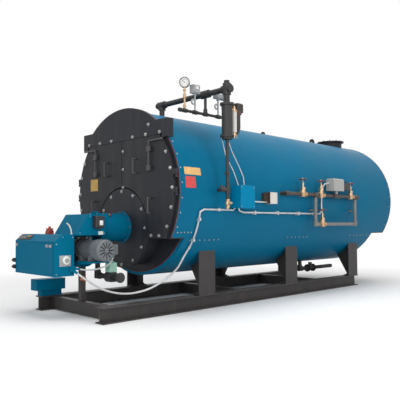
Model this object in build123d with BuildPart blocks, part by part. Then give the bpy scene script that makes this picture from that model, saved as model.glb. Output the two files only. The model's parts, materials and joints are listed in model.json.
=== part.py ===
from build123d import *
import math
import os

os.makedirs("parts", exist_ok=True)

# Shell, in millimetres: x from the boiler axis, y from the front edge of the jacket, z from the floor
jacket_radius = 1000
jacket_wall = 60
jacket_length = 4841
axis_height = 1394
notch_drop = 527
front_notch = 197
rear_notch = 373
tube_plate = 25
floor_plate = 12
crown = axis_height + jacket_radius
notch_height = axis_height - notch_drop

# Skid and saddles
rail_height = 169
rail_width = 142
rail_spacing = 1290
rail_flange = 14
rail_web = 12
rail_front = -801
rail_rear = jacket_length - 609
cross_width = 84
cross_spots = (-604, 1500, 3300)
saddle_width = 272
saddle_plate = 16
saddle_toe = 96
saddle_reach = 430
saddle_lap = 14
saddle_spots = (692, jacket_length / 2 - 26.5, jacket_length - 761)

# Smokebox front and doors
flange_depth = 8
flange_radius = jacket_radius - 5
flange_inner = flange_radius - 115
seal_gap = 5
door_depth = 37
door_radius = jacket_radius - 48
door_bottom = axis_height - 533
door_top = axis_height + 632
door_split = 10
frame_bar = 49
head_depth = seal_gap + door_depth
lintel_bottom = door_top + seal_gap
ear_bottom = lintel_bottom - 41
ear_top = lintel_bottom + 169
ear_half_width = 850
ear_width = 100
ear_wrap = 35
dome_radius = jacket_radius + 30
door_back = -flange_depth - seal_gap
door_front = door_back - door_depth
hinge_x = jacket_radius - 25
hinge_y = door_back - 19
hinge_heights = (axis_height, axis_height + 200)
knuckle_radius = 16
knuckle_height = 60
pin_radius = 8
pin_clearance = 1
davit_x = 545
davit_reach = 790
davit_radius = 10
davit_stand = 25
davit_length = 340
davit_foot = 60
handle_radius = 10
handle_stand = 55
handle_length = 168
handle_spots = ((292, axis_height + 310), (568, axis_height - 162))

# Burner
burner_height = axis_height - 419
furnace_plate_radius = 480
furnace_radius = 450
furnace_wall = 30
door_clearance = 15
barrel_height = burner_height + 10
barrel_radius = 165
barrel_length = 397
barrel_flange = 190
barrel_flange_depth = 15
barrel_front = door_front - barrel_length
hood_half_width = 240
hood_depth = 373
hood_front = barrel_front - hood_depth
hood_brow = hood_front + 145
hood_top = barrel_height + 150
hood_bottom = barrel_height - 85
hood_lip = hood_bottom + 12
housing_left = -260
housing_right = 20
housing_bottom = hood_bottom - 360
housing_round = 110
cabinet_left = -720
cabinet_right = 190
cabinet_depth = 238
cabinet_front = hood_front - cabinet_depth
cabinet_bottom = hood_lip - 447
cabinet_brow = hood_lip - 72
cabinet_slope_depth = 85
motor_y = barrel_front - 173
motor_height = hood_bottom - 160
motor_radius = 108
motor_length = 380
motor_end = housing_right + motor_length
rib_count = 28
rib_depth = 11
rib_width = 6
end_bell = 45
foot_length = 50
terminal_length = 130
terminal_reach = 115
terminal_height = 110
terminal_gap = 3
fan_cover_radius = 117
fan_cover_length = 115
fan_cover_wall = 6
fan_cover_chamfer = 18
grille_slots = 12
shelf_depth = 15
shelf_top = motor_height - motor_radius - shelf_depth
ignition_size = (70, 115, 133)
switch_spot = (-250, hood_front - 55)
switch_size = 70
gas_y = barrel_front + 52
gas_height = barrel_height - 555
gas_radius = 30
gas_reach = 440
gas_valve_x = 270
gas_valve_size = 110
actuator_size = 100
actuator_height = 106
post_width = 60
pedestal_low = rail_height + 71
pedestal_height = 132
pedestal_length = 380
pedestal_foot = 270

# Free conduits, their glands and the outlet that they leave
burner_cord_radius = 11
motor_cord_radius = 9
gland_wall = 4
gland_length = 40
outlet_radius = 36
outlet_reach = 24

# Steam trim over the right-hand side
steam_y = 592
steam_height = crown + 171
steam_radius = 34
nozzle_rise = 14
column_x = jacket_radius + 150
column_radius = 62
column_flange = 82
column_plate = 24
column_top = steam_height - 165
column_bottom = column_top - 415
leg_radius = 20
leg_height = axis_height + 16
leg_end = leg_height - 110
manifold_x = column_x - 350
manifold_height = steam_height - 240
manifold_radius = 17
manifold_front = steam_y - 409
manifold_rear = steam_y + 408
siphon_radius = 10
loop_radius = 27
gauge_y = steam_y - 337
gauge_height = manifold_height + 325
gauge_radius = 62
gauge_depth = 36
gauge_bezel = 7
gauge_turn = 40
control_width = 110
control_height = 100
control_depth = 62
control_bottom = manifold_height + 220
control_lid = 8
control_spots = (steam_y - 172, steam_y + 218, steam_y + 343)
glass_y = steam_y + 120
glass_radius = 11
glass_low = column_bottom + 70
glass_high = column_top - 60
fitting_radius = 19
fitting_half = 22
guard_radius = 32
guard_wall = 4
cutoff_x = column_x - 60
cutoff_y = steam_y + 240
cutoff_top = column_top + 40
cutoff_box = 104

# Electrical boxes and conduit on the right-hand side
box_front = 827
box_length = 244
box_bottom = axis_height - 188
box_height = 264
box_reach = jacket_radius + 150
conduit_radius = 11
conduit_gap = 6
conduit_x = jacket_radius + conduit_radius + conduit_gap
conduit_height = box_bottom - 50
lead_radius = 6
transmitter_y = 1440
transmitter_bottom = axis_height - 124
transmitter_size = 145
transmitter_reach = jacket_radius + 95

# Feedwater line with its bypass
feed_x = jacket_radius + 85
feed_height = axis_height + 21
feed_radius = 24
feed_front = 1788
feed_rear = 3575
bypass_height = feed_height - 407
bypass_front = 2455
bypass_rear = 3512
bracket_height = axis_height - 189
bracket_depth = 24
bracket_width = 14
valve_half = 62
valve_spots = (("front_valve", 2161, feed_height), ("rear_valve", 2600, feed_height),
               ("outlet_valve", 3393, feed_height), ("bypass_valve", 2624, bypass_height))
bonnet_height = 92
gland_height = 130
stem_height = 200
stem_radius = 7
wheel_radius = 58
wheel_rim = 8
regulator_front = 2829
regulator_length = 275
regulator_width = 130
regulator_bottom = feed_height + 72
regulator_height = 178
regulator_motor = 215
regulator_body = 90

# Top, rear end and underside
stack_y = jacket_length - 251
stack_bore = 190
stack_wall = 10
stack_height = crown + 96
stack_flange = 237
stack_plate = 20
lug_spots = ((jacket_length - 2176, 45), (jacket_length - 831, 65))
lug_plate = 24
rear_rim = 60
rear_raise = 7
blowdown_x = 250
blowdown_y = jacket_length - 1591
blowdown_end = jacket_length - 691
blowdown_height = axis_height - jacket_radius - 94
blowdown_radius = 30
blowdown_valve_y = jacket_length - 1306
blowdown_valve_length = 170

# Place of the boiler axis and of the jacket's front edge in the part's own frame
rear_face = jacket_length + 2 * flange_depth
rear_end = rear_face + door_depth + rear_raise
axis_x = (jacket_radius - column_x - column_flange) / 2
front_y = -(cabinet_front + rear_end) / 2


def at(x, y, z):
    """Point measured from the boiler axis, the front edge of the jacket and the floor."""
    return Vector(axis_x + x, front_y + y, z)


def front_plane(y):
    """Upright plane across the boiler, seen from the front: x from the axis, height from the floor."""
    return Plane(origin=at(0, y, 0), x_dir=(1, 0, 0), z_dir=(0, -1, 0))


def side_plane(x):
    """Upright plane along the boiler, seen from the right: y from the front edge, height from the floor."""
    return Plane(origin=at(x, 0, 0), x_dir=(0, 1, 0), z_dir=(1, 0, 0))


def rod(start, end, radius, mode=Mode.ADD):
    """Round bar between two points of the open part."""
    run = end - start
    with Locations(Plane(origin=(start + end) * 0.5, z_dir=run)):
        Cylinder(radius, run.length, mode=mode)


def nut(start, end, radius):
    """Six-sided fitting between two points of the open part."""
    run = end - start
    with BuildSketch(Plane(origin=start, z_dir=run), mode=Mode.PRIVATE) as section:
        RegularPolygon(radius, 6)
    extrude(section.sketch, amount=run.length)


def block(low, high, mode=Mode.ADD):
    """Upright box between two opposite corners of the open part."""
    size = high - low
    with Locations((low + high) * 0.5):
        Box(size.X, size.Y, size.Z, mode=mode)


def tube(points, radius, sides=None):
    """Bar along straight runs with mitred corners, round or with flat sides."""
    with BuildLine(mode=Mode.PRIVATE) as route:
        Polyline(*points)
    with BuildSketch(Plane(origin=points[0], z_dir=points[1] - points[0]), mode=Mode.PRIVATE) as section:
        if sides:
            RegularPolygon(radius, sides)
        else:
            Circle(radius)
    sweep(section.sketch, path=route.line, transition=Transition.RIGHT)


def pipe(points, radius, fitting=1.3):
    """Pipe run with a thicker elbow fitting round each inner corner."""
    tube(points, radius)
    arm = 2 * radius
    for before, corner, after in zip(points, points[1:], points[2:]):
        tube([corner + (before - corner).normalized() * arm, corner,
              corner + (after - corner).normalized() * arm],
             fitting * radius)


def bend(points, radius):
    """Bent tube whose corners are arcs as large as their runs allow; gives back the radii and the length."""
    runs = [after - before for before, after in zip(points, points[1:])]
    radii = [0.45 * min(a.length, b.length) / math.tan(math.radians(a.get_angle(b) / 2))
             for a, b in zip(runs, runs[1:])]
    with BuildLine(mode=Mode.PRIVATE) as route:
        FilletPolyline(*points, radius=radii)
    with BuildSketch(Plane(origin=points[0], z_dir=runs[0]), mode=Mode.PRIVATE) as section:
        Circle(radius)
    sweep(section.sketch, path=route.line)
    return radii, sum(edge.length for edge in route.edges())


def cut_shell(radius=jacket_radius):
    """Trim the open part where it would enter the jacket."""
    rod(at(0, -1, axis_height), at(0, jacket_length + 1, axis_height), radius, Mode.SUBTRACT)


def chord(radius, height):
    """Half width of a circle about the boiler axis at a height above the floor."""
    return math.sqrt(radius**2 - (height - axis_height)**2)


def underside(x):
    """Height of the jacket's underside at a distance to the side of the axis."""
    return axis_height - math.sqrt(jacket_radius**2 - x**2)


# Skid rails, two rolled beams
for side, sign in (("left", -1), ("right", 1)):
    with BuildPart() as skid_rail:
        with BuildSketch(front_plane(rail_front)):
            with Locations((sign * rail_spacing / 2, rail_height / 2)):
                Rectangle(rail_width, rail_height)
            for face in (-1, 1):
                with Locations((sign * rail_spacing / 2 + face * (rail_width + rail_web) / 4,
                                rail_height / 2)):
                    Rectangle((rail_width - rail_web) / 2, rail_height - 2 * rail_flange, mode=Mode.SUBTRACT)
        extrude(amount=rail_front - rail_rear)
    skid_rail.part.label = f"skid_rail_{side}"
    export_step(skid_rail.part, f"parts/skid_rail_{side}.step")

# Cross members, channels between the webs of the rails
cross_half = (rail_spacing - rail_web) / 2
with BuildPart() as skid_cross_members:
    for spot in cross_spots:
        block(at(-cross_half, spot - cross_width / 2, rail_flange),
              at(cross_half, spot + cross_width / 2, rail_height - rail_flange))
        block(at(-cross_half, spot - cross_width / 2 + rail_web, 2 * rail_flange),
              at(cross_half, spot + cross_width / 2, rail_height - 2 * rail_flange), Mode.SUBTRACT)
skid_cross_members.part.label = "skid_cross_members"
export_step(skid_cross_members.part, "parts/skid_cross_members.step")

# Saddles, each an outer flange, a web that follows the shell and a foot
saddle_outer = (rail_spacing + rail_width) / 2
saddle_top = underside(saddle_outer) + saddle_lap
for place, spot in zip(("front", "middle", "rear"), saddle_spots):
    with BuildPart() as saddle:
        for sign in (-1, 1):
            with BuildSketch(front_plane(spot - saddle_plate / 2)):
                with BuildLine():
                    Polyline((sign * saddle_outer, rail_height),
                             (sign * (saddle_outer - saddle_toe), rail_height),
                             (sign * saddle_reach, underside(saddle_reach)),
                             (sign * saddle_reach, saddle_top),
                             (sign * saddle_outer, saddle_top),
                             close=True)
                make_face()
            extrude(amount=-saddle_plate)
            for low_x, top in ((saddle_outer - saddle_plate, saddle_top),
                               (saddle_outer - saddle_toe, rail_height + saddle_plate)):
                inner, outer = sorted((sign * low_x, sign * saddle_outer))
                block(at(inner, spot - saddle_width / 2, rail_height),
                      at(outer, spot + saddle_width / 2, top))
        cut_shell()
    saddle.part.label = f"saddle_{place}"
    export_step(saddle.part, f"parts/saddle_{place}.step")

# Jacket, a round shell whose lower half is shorter at both ends
with BuildPart() as jacket:
    with BuildSketch(front_plane(0)):
        with Locations((0, axis_height)):
            Circle(jacket_radius)
            Circle(jacket_radius - jacket_wall, mode=Mode.SUBTRACT)
    extrude(amount=-jacket_length)
    for low_y, high_y in ((-1, front_notch), (jacket_length - rear_notch, jacket_length + 1)):
        block(at(-jacket_radius - 1, low_y, 0), at(jacket_radius + 1, high_y, notch_height), Mode.SUBTRACT)
    rod(at(0, stack_y, axis_height), at(0, stack_y, stack_height), stack_bore + stack_wall / 2,
        Mode.SUBTRACT)
jacket.part.label = "jacket"
export_step(jacket.part, "parts/jacket.step")

# Tube sheets, round plates that close the shell behind the smokeboxes
for place, face_y in (("front", front_notch), ("rear", jacket_length - rear_notch - tube_plate)):
    with BuildPart() as tube_sheet:
        rod(at(0, face_y, axis_height), at(0, face_y + tube_plate, axis_height), jacket_radius - jacket_wall)
    tube_sheet.part.label = f"{place}_tube_sheet"
    export_step(tube_sheet.part, f"parts/{place}_tube_sheet.step")

# Smokebox floors, flat plates under the overhanging ends
floor_half = chord(jacket_radius, notch_height)
for place, low_y, high_y in (("front", 0, front_notch), ("rear", jacket_length - rear_notch, jacket_length)):
    with BuildPart() as smokebox_floor:
        block(at(-floor_half, low_y, notch_height - floor_plate), at(floor_half, high_y, notch_height))
        if place == "front":
            rod(at(0, low_y - 1, burner_height), at(0, high_y + 1, burner_height), furnace_radius,
                Mode.SUBTRACT)
    smokebox_floor.part.label = f"{place}_smokebox_floor"
    export_step(smokebox_floor.part, f"parts/{place}_smokebox_floor.step")

# Front flange, the flat ring on which the doors close, with the fixed halves of the hinges
with BuildPart() as front_flange:
    with BuildSketch(front_plane(0)):
        with Locations((0, axis_height)):
            Circle(flange_radius)
        with Locations((0, door_bottom / 2)):
            Rectangle(2 * jacket_radius, door_bottom, mode=Mode.SUBTRACT)
        with BuildSketch(mode=Mode.PRIVATE) as mouth:
            with Locations((0, axis_height)):
                Circle(flange_inner)
            with Locations((0, (door_bottom + frame_bar) / 2)):
                Rectangle(2 * jacket_radius, door_bottom + frame_bar, mode=Mode.SUBTRACT)
        add(mouth.sketch, mode=Mode.SUBTRACT)
        with Locations((0, burner_height)):
            Circle(furnace_radius, mode=Mode.SUBTRACT)
    extrude(amount=flange_depth)
    for sign in (-1, 1):
        for height in hinge_heights:
            lug_top = height - knuckle_height / 2 - seal_gap
            lug_low = lug_top - knuckle_height / 2
            pin_x = sign * hinge_x
            rod(at(pin_x, hinge_y, lug_low), at(pin_x, hinge_y, lug_top), knuckle_radius)
            block(at(pin_x - knuckle_radius, hinge_y, lug_low),
                  at(pin_x + knuckle_radius / 2, -flange_depth, lug_top))
            rod(at(pin_x, hinge_y, lug_low), at(pin_x, hinge_y, height + knuckle_height / 2), pin_radius)
front_flange.part.label = "front_flange"
export_step(front_flange.part, "parts/front_flange.step")

# Front head, the fixed dome plate over the doors with an ear at each end of its lintel
with BuildPart() as front_head:
    with BuildSketch(front_plane(-flange_depth)):
        with Locations((0, axis_height)):
            Circle(dome_radius)
        with Locations((0, lintel_bottom / 2)):
            Rectangle(2 * dome_radius, lintel_bottom, mode=Mode.SUBTRACT)
        with Locations((0, (lintel_bottom + ear_top) / 2)):
            Rectangle(2 * ear_half_width, ear_top - lintel_bottom)
        for sign in (-1, 1):
            with Locations((sign * (ear_half_width - ear_width / 2), (ear_bottom + ear_top) / 2)):
                Rectangle(ear_width, ear_top - ear_bottom)
    extrude(amount=head_depth)
    for sign in (-1, 1):
        inner, outer = sorted((sign * (ear_half_width - ear_wrap), sign * ear_half_width))
        block(at(inner, -flange_depth, ear_bottom), at(outer, ear_wrap, ear_top))
    cut_shell()
front_head.part.label = "front_head"
export_step(front_head.part, "parts/front_head.step")

# Front doors, half rounds cut away round the burner, hinged at their outer edges, with davit bars and handles
davit_top = ear_bottom - 2 * davit_radius
for side, sign in (("left", -1), ("right", 1)):
    with BuildPart() as front_door:
        with BuildSketch(front_plane(door_back)):
            with Locations((0, axis_height)):
                Circle(door_radius)
            with Locations((0, door_bottom / 2)):
                Rectangle(2 * door_radius, door_bottom, mode=Mode.SUBTRACT)
            with Locations((0, (door_top + axis_height + dome_radius) / 2)):
                Rectangle(2 * door_radius, axis_height + dome_radius - door_top, mode=Mode.SUBTRACT)
            with Locations((sign * (door_split / 2 - door_radius), axis_height)):
                Rectangle(2 * door_radius, 2 * door_radius, mode=Mode.SUBTRACT)
            with Locations((0, burner_height)):
                Circle(furnace_plate_radius + door_clearance, mode=Mode.SUBTRACT)
        extrude(amount=door_depth)
        for height in hinge_heights:
            low = height - knuckle_height / 2
            pin_low = at(sign * hinge_x, hinge_y, low)
            pin_high = at(sign * hinge_x, hinge_y, low + knuckle_height)
            rod(pin_low, pin_high, knuckle_radius)
            leaf = sorted((sign * (chord(door_radius, height) - knuckle_height), sign * hinge_x))
            block(at(leaf[0], hinge_y - knuckle_radius, low),
                  at(leaf[1], hinge_y + knuckle_radius / 2, low + knuckle_height))
            rod(pin_low, pin_high, pin_radius + pin_clearance, Mode.SUBTRACT)
        davit_y = door_front - davit_stand
        davit_low = davit_top - davit_length
        tube([at(sign * davit_reach, davit_y, davit_top), at(sign * davit_x, davit_y, davit_top),
              at(sign * davit_x, davit_y, davit_low)], davit_radius)
        for foot_low in (davit_low, davit_top - 2 * davit_foot):
            block(at(sign * davit_x - davit_foot / 2, davit_y - davit_radius, foot_low),
                  at(sign * davit_x + davit_foot / 2, door_front, foot_low + davit_foot))
        for handle_x, handle_middle in handle_spots:
            grip_y = door_front - handle_stand
            handle_low = handle_middle - handle_length / 2
            handle_high = handle_middle + handle_length / 2
            tube([at(sign * handle_x, door_front, handle_low), at(sign * handle_x, grip_y, handle_low),
                  at(sign * handle_x, grip_y, handle_high), at(sign * handle_x, door_front, handle_high)],
                 handle_radius, 8)
    front_door.part.label = f"front_door_{side}"
    export_step(front_door.part, f"parts/front_door_{side}.step")

# Furnace collar and the round plate that carries the burner
with BuildPart() as furnace_collar:
    with BuildSketch(front_plane(front_notch)):
        with Locations((0, burner_height)):
            Circle(furnace_radius)
            Circle(furnace_radius - furnace_wall, mode=Mode.SUBTRACT)
    extrude(amount=front_notch + flange_depth)
furnace_collar.part.label = "furnace_collar"
export_step(furnace_collar.part, "parts/furnace_collar.step")

with BuildPart() as burner_plate:
    rod(at(0, -flange_depth, burner_height), at(0, door_front, burner_height), furnace_plate_radius)
burner_plate.part.label = "burner_plate"
export_step(burner_plate.part, "parts/burner_plate.step")

# Burner barrel with a flange at each end
with BuildPart() as burner_barrel:
    rod(at(0, door_front, barrel_height), at(0, barrel_front, barrel_height), barrel_radius)
    for end_y, way in ((door_front, -1), (barrel_front, 1)):
        rod(at(0, end_y, barrel_height), at(0, end_y + way * barrel_flange_depth, barrel_height),
            barrel_flange)
burner_barrel.part.label = "burner_barrel"
export_step(burner_barrel.part, "parts/burner_barrel.step")

# Blower hood, a sloped air box in front of the barrel
with BuildPart() as blower_hood:
    with BuildSketch(side_plane(-hood_half_width)):
        with BuildLine():
            Polyline((barrel_front, hood_bottom), (hood_front, hood_bottom), (hood_front, hood_lip),
                     (hood_brow, hood_top), (barrel_front, hood_top), close=True)
        make_face()
    extrude(amount=2 * hood_half_width)
blower_hood.part.label = "blower_hood"
export_step(blower_hood.part, "parts/blower_hood.step")

# Blower housing below the hood, rounded underneath
with BuildPart() as blower_housing:
    with BuildSketch(side_plane(housing_left)):
        with Locations(((barrel_front + hood_front) / 2, (housing_bottom + hood_bottom) / 2)):
            Rectangle(hood_depth, hood_bottom - housing_bottom)
    extrude(amount=housing_right - housing_left)
    fillet(blower_housing.edges().filter_by(Axis.X).group_by(Axis.Z)[0], housing_round)
blower_housing.part.label = "blower_housing"
export_step(blower_housing.part, "parts/blower_housing.step")

# Outlet that both conduits leave, on the cabinet's right-hand face
outlet_y = hood_front - 28
outlet_height = cabinet_bottom + 75
outlet = at(cabinet_right + outlet_reach / 2, outlet_y, outlet_height)

# Routes of the free conduits: steps from the outlet, then shares of the jacket's radius beside the jacket
burner_sag = [(37, 37, -47), (112, 148, -152), (220, 268, -240), (364, 428, -282), (498, 603, -245)]
burner_climb = [(0.765, -90, 1.022), (0.765, 55, 0.949), (0.745, 175, 0.886), (0.715, 262, 0.816),
                (0.720, 314, 0.738), (0.775, 325, 0.663)]
motor_sag = [(28, 73, -5), (68, 158, -22), (120, 243, -6), (160, 323, 20), (176, 378, 60), (170, 408, 112)]
motor_route = [outlet + Vector(*step) for step in motor_sag]
burner_route = [outlet + Vector(*step) for step in burner_sag]
for share, climb_at, drop in burner_climb:
    burner_route.append(at(share * jacket_radius, climb_at, axis_height - drop * jacket_radius))

# Control cabinet with a sloped upper front, the outlet and a gland for each conduit
with BuildPart() as burner_cabinet:
    with BuildSketch(side_plane(cabinet_left)):
        with BuildLine():
            Polyline((hood_front, cabinet_bottom), (cabinet_front, cabinet_bottom),
                     (cabinet_front, cabinet_brow),
                     (cabinet_front + cabinet_slope_depth, hood_lip), (hood_front, hood_lip), close=True)
        make_face()
    extrude(amount=cabinet_right - cabinet_left)
    rod(at(cabinet_right, outlet_y, outlet_height),
        at(cabinet_right + outlet_reach, outlet_y, outlet_height),
        outlet_radius)
    for route, cord_radius in ((burner_route, burner_cord_radius), (motor_route, motor_cord_radius)):
        way = (route[1] - route[0]).normalized()
        rod(route[0] - way * (outlet - route[0]).length, route[0], cord_radius + gland_wall)
burner_cabinet.part.label = "burner_cabinet"
export_step(burner_cabinet.part, "parts/burner_cabinet.step")

# Burner motor on a shelf, its ribbed frame across the boiler, with a pad for the terminal box
terminal_end = motor_end - 12
terminal_middle = terminal_end - terminal_length / 2
terminal_y = motor_y + fan_cover_radius + terminal_gap
with BuildPart() as burner_motor:
    with BuildSketch(Plane(origin=at(housing_right, motor_y, motor_height), x_dir=(0, 1, 0),
                           z_dir=(1, 0, 0))):
        Circle(motor_radius - rib_depth)
        with PolarLocations(motor_radius - rib_depth, rib_count):
            Rectangle(2 * rib_depth, rib_width)
    extrude(amount=motor_length)
    for low_x, radius in ((housing_right, motor_radius), (motor_end - end_bell, fan_cover_radius)):
        rod(at(low_x, motor_y, motor_height), at(low_x + end_bell, motor_y, motor_height), radius)
    for foot_x in (housing_right + end_bell + foot_length, motor_end - end_bell - foot_length):
        block(at(foot_x - foot_length / 2, motor_y - motor_radius * 0.8, shelf_top),
              at(foot_x + foot_length / 2, motor_y + motor_radius * 0.8, motor_height - motor_radius * 0.5))
    block(at(terminal_middle - foot_length / 2, motor_y, motor_height - foot_length / 2),
          at(terminal_middle + foot_length / 2, terminal_y, motor_height + foot_length / 2))
burner_motor.part.label = "burner_motor"
export_step(burner_motor.part, "parts/burner_motor.step")

# Fan cover, a thin cup whose end is a grille of radial slots
cover_end = motor_end + fan_cover_length
slot_length = fan_cover_radius * 0.56
with BuildPart() as motor_fan_cover:
    rod(at(motor_end, motor_y, motor_height), at(cover_end, motor_y, motor_height), fan_cover_radius)
    chamfer(motor_fan_cover.faces().sort_by(Axis.X)[-1].edges(), fan_cover_chamfer)
    rod(at(motor_end, motor_y, motor_height), at(cover_end - fan_cover_chamfer, motor_y, motor_height),
        fan_cover_radius - fan_cover_wall, Mode.SUBTRACT)
    with BuildSketch(Plane(origin=at(cover_end, motor_y, motor_height), x_dir=(0, 1, 0), z_dir=(1, 0, 0))):
        with PolarLocations(fan_cover_radius * 0.5, grille_slots):
            Rectangle(slot_length, 2 * fan_cover_wall)
    extrude(amount=-fan_cover_chamfer, mode=Mode.SUBTRACT)
motor_fan_cover.part.label = "motor_fan_cover"
export_step(motor_fan_cover.part, "parts/motor_fan_cover.step")

# Terminal box behind the motor, with the gland that takes the motor's conduit
terminal_bottom = motor_height - terminal_height / 2
with BuildPart() as motor_terminal_box:
    block(at(terminal_end - terminal_length, terminal_y, terminal_bottom),
          at(terminal_end, terminal_y + terminal_reach, terminal_bottom + terminal_height))
    gland_way = (motor_route[-1] - motor_route[-2]).normalized()
    rod(motor_route[-1], motor_route[-1] + gland_way * gland_length, motor_cord_radius + gland_wall)
motor_terminal_box.part.label = "motor_terminal_box"
export_step(motor_terminal_box.part, "parts/motor_terminal_box.step")

with BuildPart() as motor_shelf:
    block(at(housing_right, motor_y - motor_radius, shelf_top - shelf_depth),
          at(motor_end, motor_y + motor_radius, shelf_top))
    for web_y in (motor_y - motor_radius, motor_y + motor_radius - shelf_depth):
        with BuildSketch(front_plane(web_y)):
            with BuildLine():
                Polyline((housing_right, shelf_top - shelf_depth), (motor_end, shelf_top - shelf_depth),
                         (housing_right, housing_bottom + housing_round / 4), close=True)
            make_face()
        extrude(amount=-shelf_depth)
motor_shelf.part.label = "motor_shelf"
export_step(motor_shelf.part, "parts/motor_shelf.step")

# The free conduits, with the radii of their bends and a comparison of volumes
for name, route, cord_radius in (("burner_conduit", burner_route, burner_cord_radius),
                                 ("motor_conduit", motor_route, motor_cord_radius)):
    with BuildPart() as conduit:
        radii, length = bend(route, cord_radius)
    print(name, "radii", [round(radius) for radius in radii], "length", round(length))
    print("  volume", round(conduit.part.volume), "of", round(math.pi * cord_radius**2 * length))
    conduit.part.label = name
    export_step(conduit.part, f"parts/{name}.step")

# Ignition box on the side of the hood, with a cable inlet below
ignition_y = hood_brow + 55
ignition_bottom = hood_top - 22 - ignition_size[2]
with BuildPart() as ignition_box:
    block(at(hood_half_width, ignition_y, ignition_bottom),
          at(hood_half_width + ignition_size[0], ignition_y + ignition_size[1],
             ignition_bottom + ignition_size[2]))
    chamfer(ignition_box.faces().sort_by(Axis.X)[-1].edges(), 8)
    rod(at(hood_half_width + ignition_size[0] / 2, ignition_y + ignition_size[1] / 2, ignition_bottom - 18),
        at(hood_half_width + ignition_size[0] / 2, ignition_y + ignition_size[1] / 2, ignition_bottom), 14)
ignition_box.part.label = "ignition_box"
export_step(ignition_box.part, "parts/ignition_box.step")

# Air switch on top of the cabinet, two round chambers over a bracket
switch_x, switch_y = switch_spot
switch_seat = hood_lip + switch_size * 0.45
with BuildPart() as air_switch:
    block(at(switch_x - switch_size / 2, switch_y - switch_size / 2, hood_lip),
          at(switch_x + switch_size / 2, switch_y + switch_size / 2, switch_seat))
    for low, high, radius in ((0, 0.18, 0.62), (0.18, 0.34, 0.5), (0.34, 0.5, 0.62), (0.5, 0.8, 0.22)):
        rod(at(switch_x, switch_y, switch_seat + low * switch_size),
            at(switch_x, switch_y, switch_seat + high * switch_size), radius * switch_size)
air_switch.part.label = "air_switch"
export_step(air_switch.part, "parts/air_switch.step")

# Gas train: riser to the barrel, valve body, actuator
valve_low = gas_valve_x - gas_valve_size / 2
valve_high = gas_valve_x + gas_valve_size / 2
with BuildPart() as gas_pipe:
    pipe([at(0, gas_y, barrel_height), at(0, gas_y, gas_height), at(gas_reach, gas_y, gas_height)],
         gas_radius)
    rod(at(gas_reach, gas_y, gas_height), at(gas_reach + gas_radius / 2, gas_y, gas_height),
        gas_radius * 1.9)
    rod(at(0, door_front, barrel_height), at(0, barrel_front, barrel_height), barrel_radius, Mode.SUBTRACT)
    block(at(valve_low, gas_y - gas_valve_size, gas_height - gas_valve_size),
          at(valve_high, gas_y + gas_valve_size, gas_height + gas_valve_size), Mode.SUBTRACT)
gas_pipe.part.label = "gas_pipe"
export_step(gas_pipe.part, "parts/gas_pipe.step")

with BuildPart() as gas_valve:
    block(at(valve_low, gas_y - gas_valve_size / 2, gas_height - gas_valve_size / 2),
          at(valve_high, gas_y + gas_valve_size / 2, gas_height + gas_valve_size / 2))
    chamfer(gas_valve.edges().filter_by(Axis.X), gas_valve_size * 0.2)
gas_valve.part.label = "gas_valve"
export_step(gas_valve.part, "parts/gas_valve.step")

actuator_bottom = gas_height + gas_valve_size / 2
with BuildPart() as gas_actuator:
    with Locations(at(gas_valve_x, gas_y, actuator_bottom + actuator_height / 2)):
        Box(actuator_size, actuator_size, actuator_height)
    fillet(gas_actuator.edges().filter_by(Axis.Z), actuator_size * 0.12)
    chamfer(gas_actuator.faces().sort_by(Axis.Z)[-1].edges(), actuator_size * 0.06)
gas_actuator.part.label = "gas_actuator"
export_step(gas_actuator.part, "parts/gas_actuator.step")

# Post under the blower and the pedestal box on the far rail
with BuildPart() as burner_post:
    block(at(-post_width / 2, cross_spots[0] - post_width / 2, rail_height - rail_flange),
          at(post_width / 2, cross_spots[0] + post_width / 2, housing_bottom))
burner_post.part.label = "burner_post"
export_step(burner_post.part, "parts/burner_post.step")

pedestal_x = -rail_spacing / 2 + 10
pedestal_y = rail_front + 121
with BuildPart() as pedestal_box:
    with Locations(at(pedestal_x, pedestal_y, pedestal_low + pedestal_height / 2)):
        Box(rail_width, pedestal_length, pedestal_height)
    with Locations(at(pedestal_x - 10, pedestal_y + 25, (rail_height + pedestal_low) / 2)):
        Box(rail_width * 0.63, pedestal_foot, pedestal_low - rail_height)
pedestal_box.part.label = "pedestal_box"
export_step(pedestal_box.part, "parts/pedestal_box.step")

# Rear end: flange and closing door, its middle raised inside a bolting rim
with BuildPart() as rear_flange:
    with BuildSketch(front_plane(jacket_length)):
        with Locations((0, axis_height)):
            Circle(flange_radius)
        with Locations((0, door_bottom / 2)):
            Rectangle(2 * jacket_radius, door_bottom, mode=Mode.SUBTRACT)
    extrude(amount=-flange_depth * 2)
rear_flange.part.label = "rear_flange"
export_step(rear_flange.part, "parts/rear_flange.step")

with BuildPart() as rear_door:
    for inset, depth in ((0, door_depth), (rear_rim, door_depth + rear_raise)):
        with BuildSketch(front_plane(rear_face)):
            with Locations((0, axis_height)):
                Circle(door_radius - inset)
            with Locations((0, (door_bottom + frame_bar + inset) / 2)):
                Rectangle(2 * jacket_radius, door_bottom + frame_bar + inset, mode=Mode.SUBTRACT)
        extrude(amount=-depth)
rear_door.part.label = "rear_door"
export_step(rear_door.part, "parts/rear_door.step")

# Stack outlet with its flange, and the lifting lugs on the crown
with BuildPart() as stack_outlet:
    rod(at(0, stack_y, axis_height), at(0, stack_y, stack_height), stack_bore + stack_wall)
    rod(at(0, stack_y, stack_height - stack_plate), at(0, stack_y, stack_height), stack_flange)
    cut_shell()
    rod(at(0, stack_y, axis_height), at(0, stack_y, stack_height), stack_bore, Mode.SUBTRACT)
stack_outlet.part.label = "stack_outlet"
export_step(stack_outlet.part, "parts/stack_outlet.step")

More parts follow.
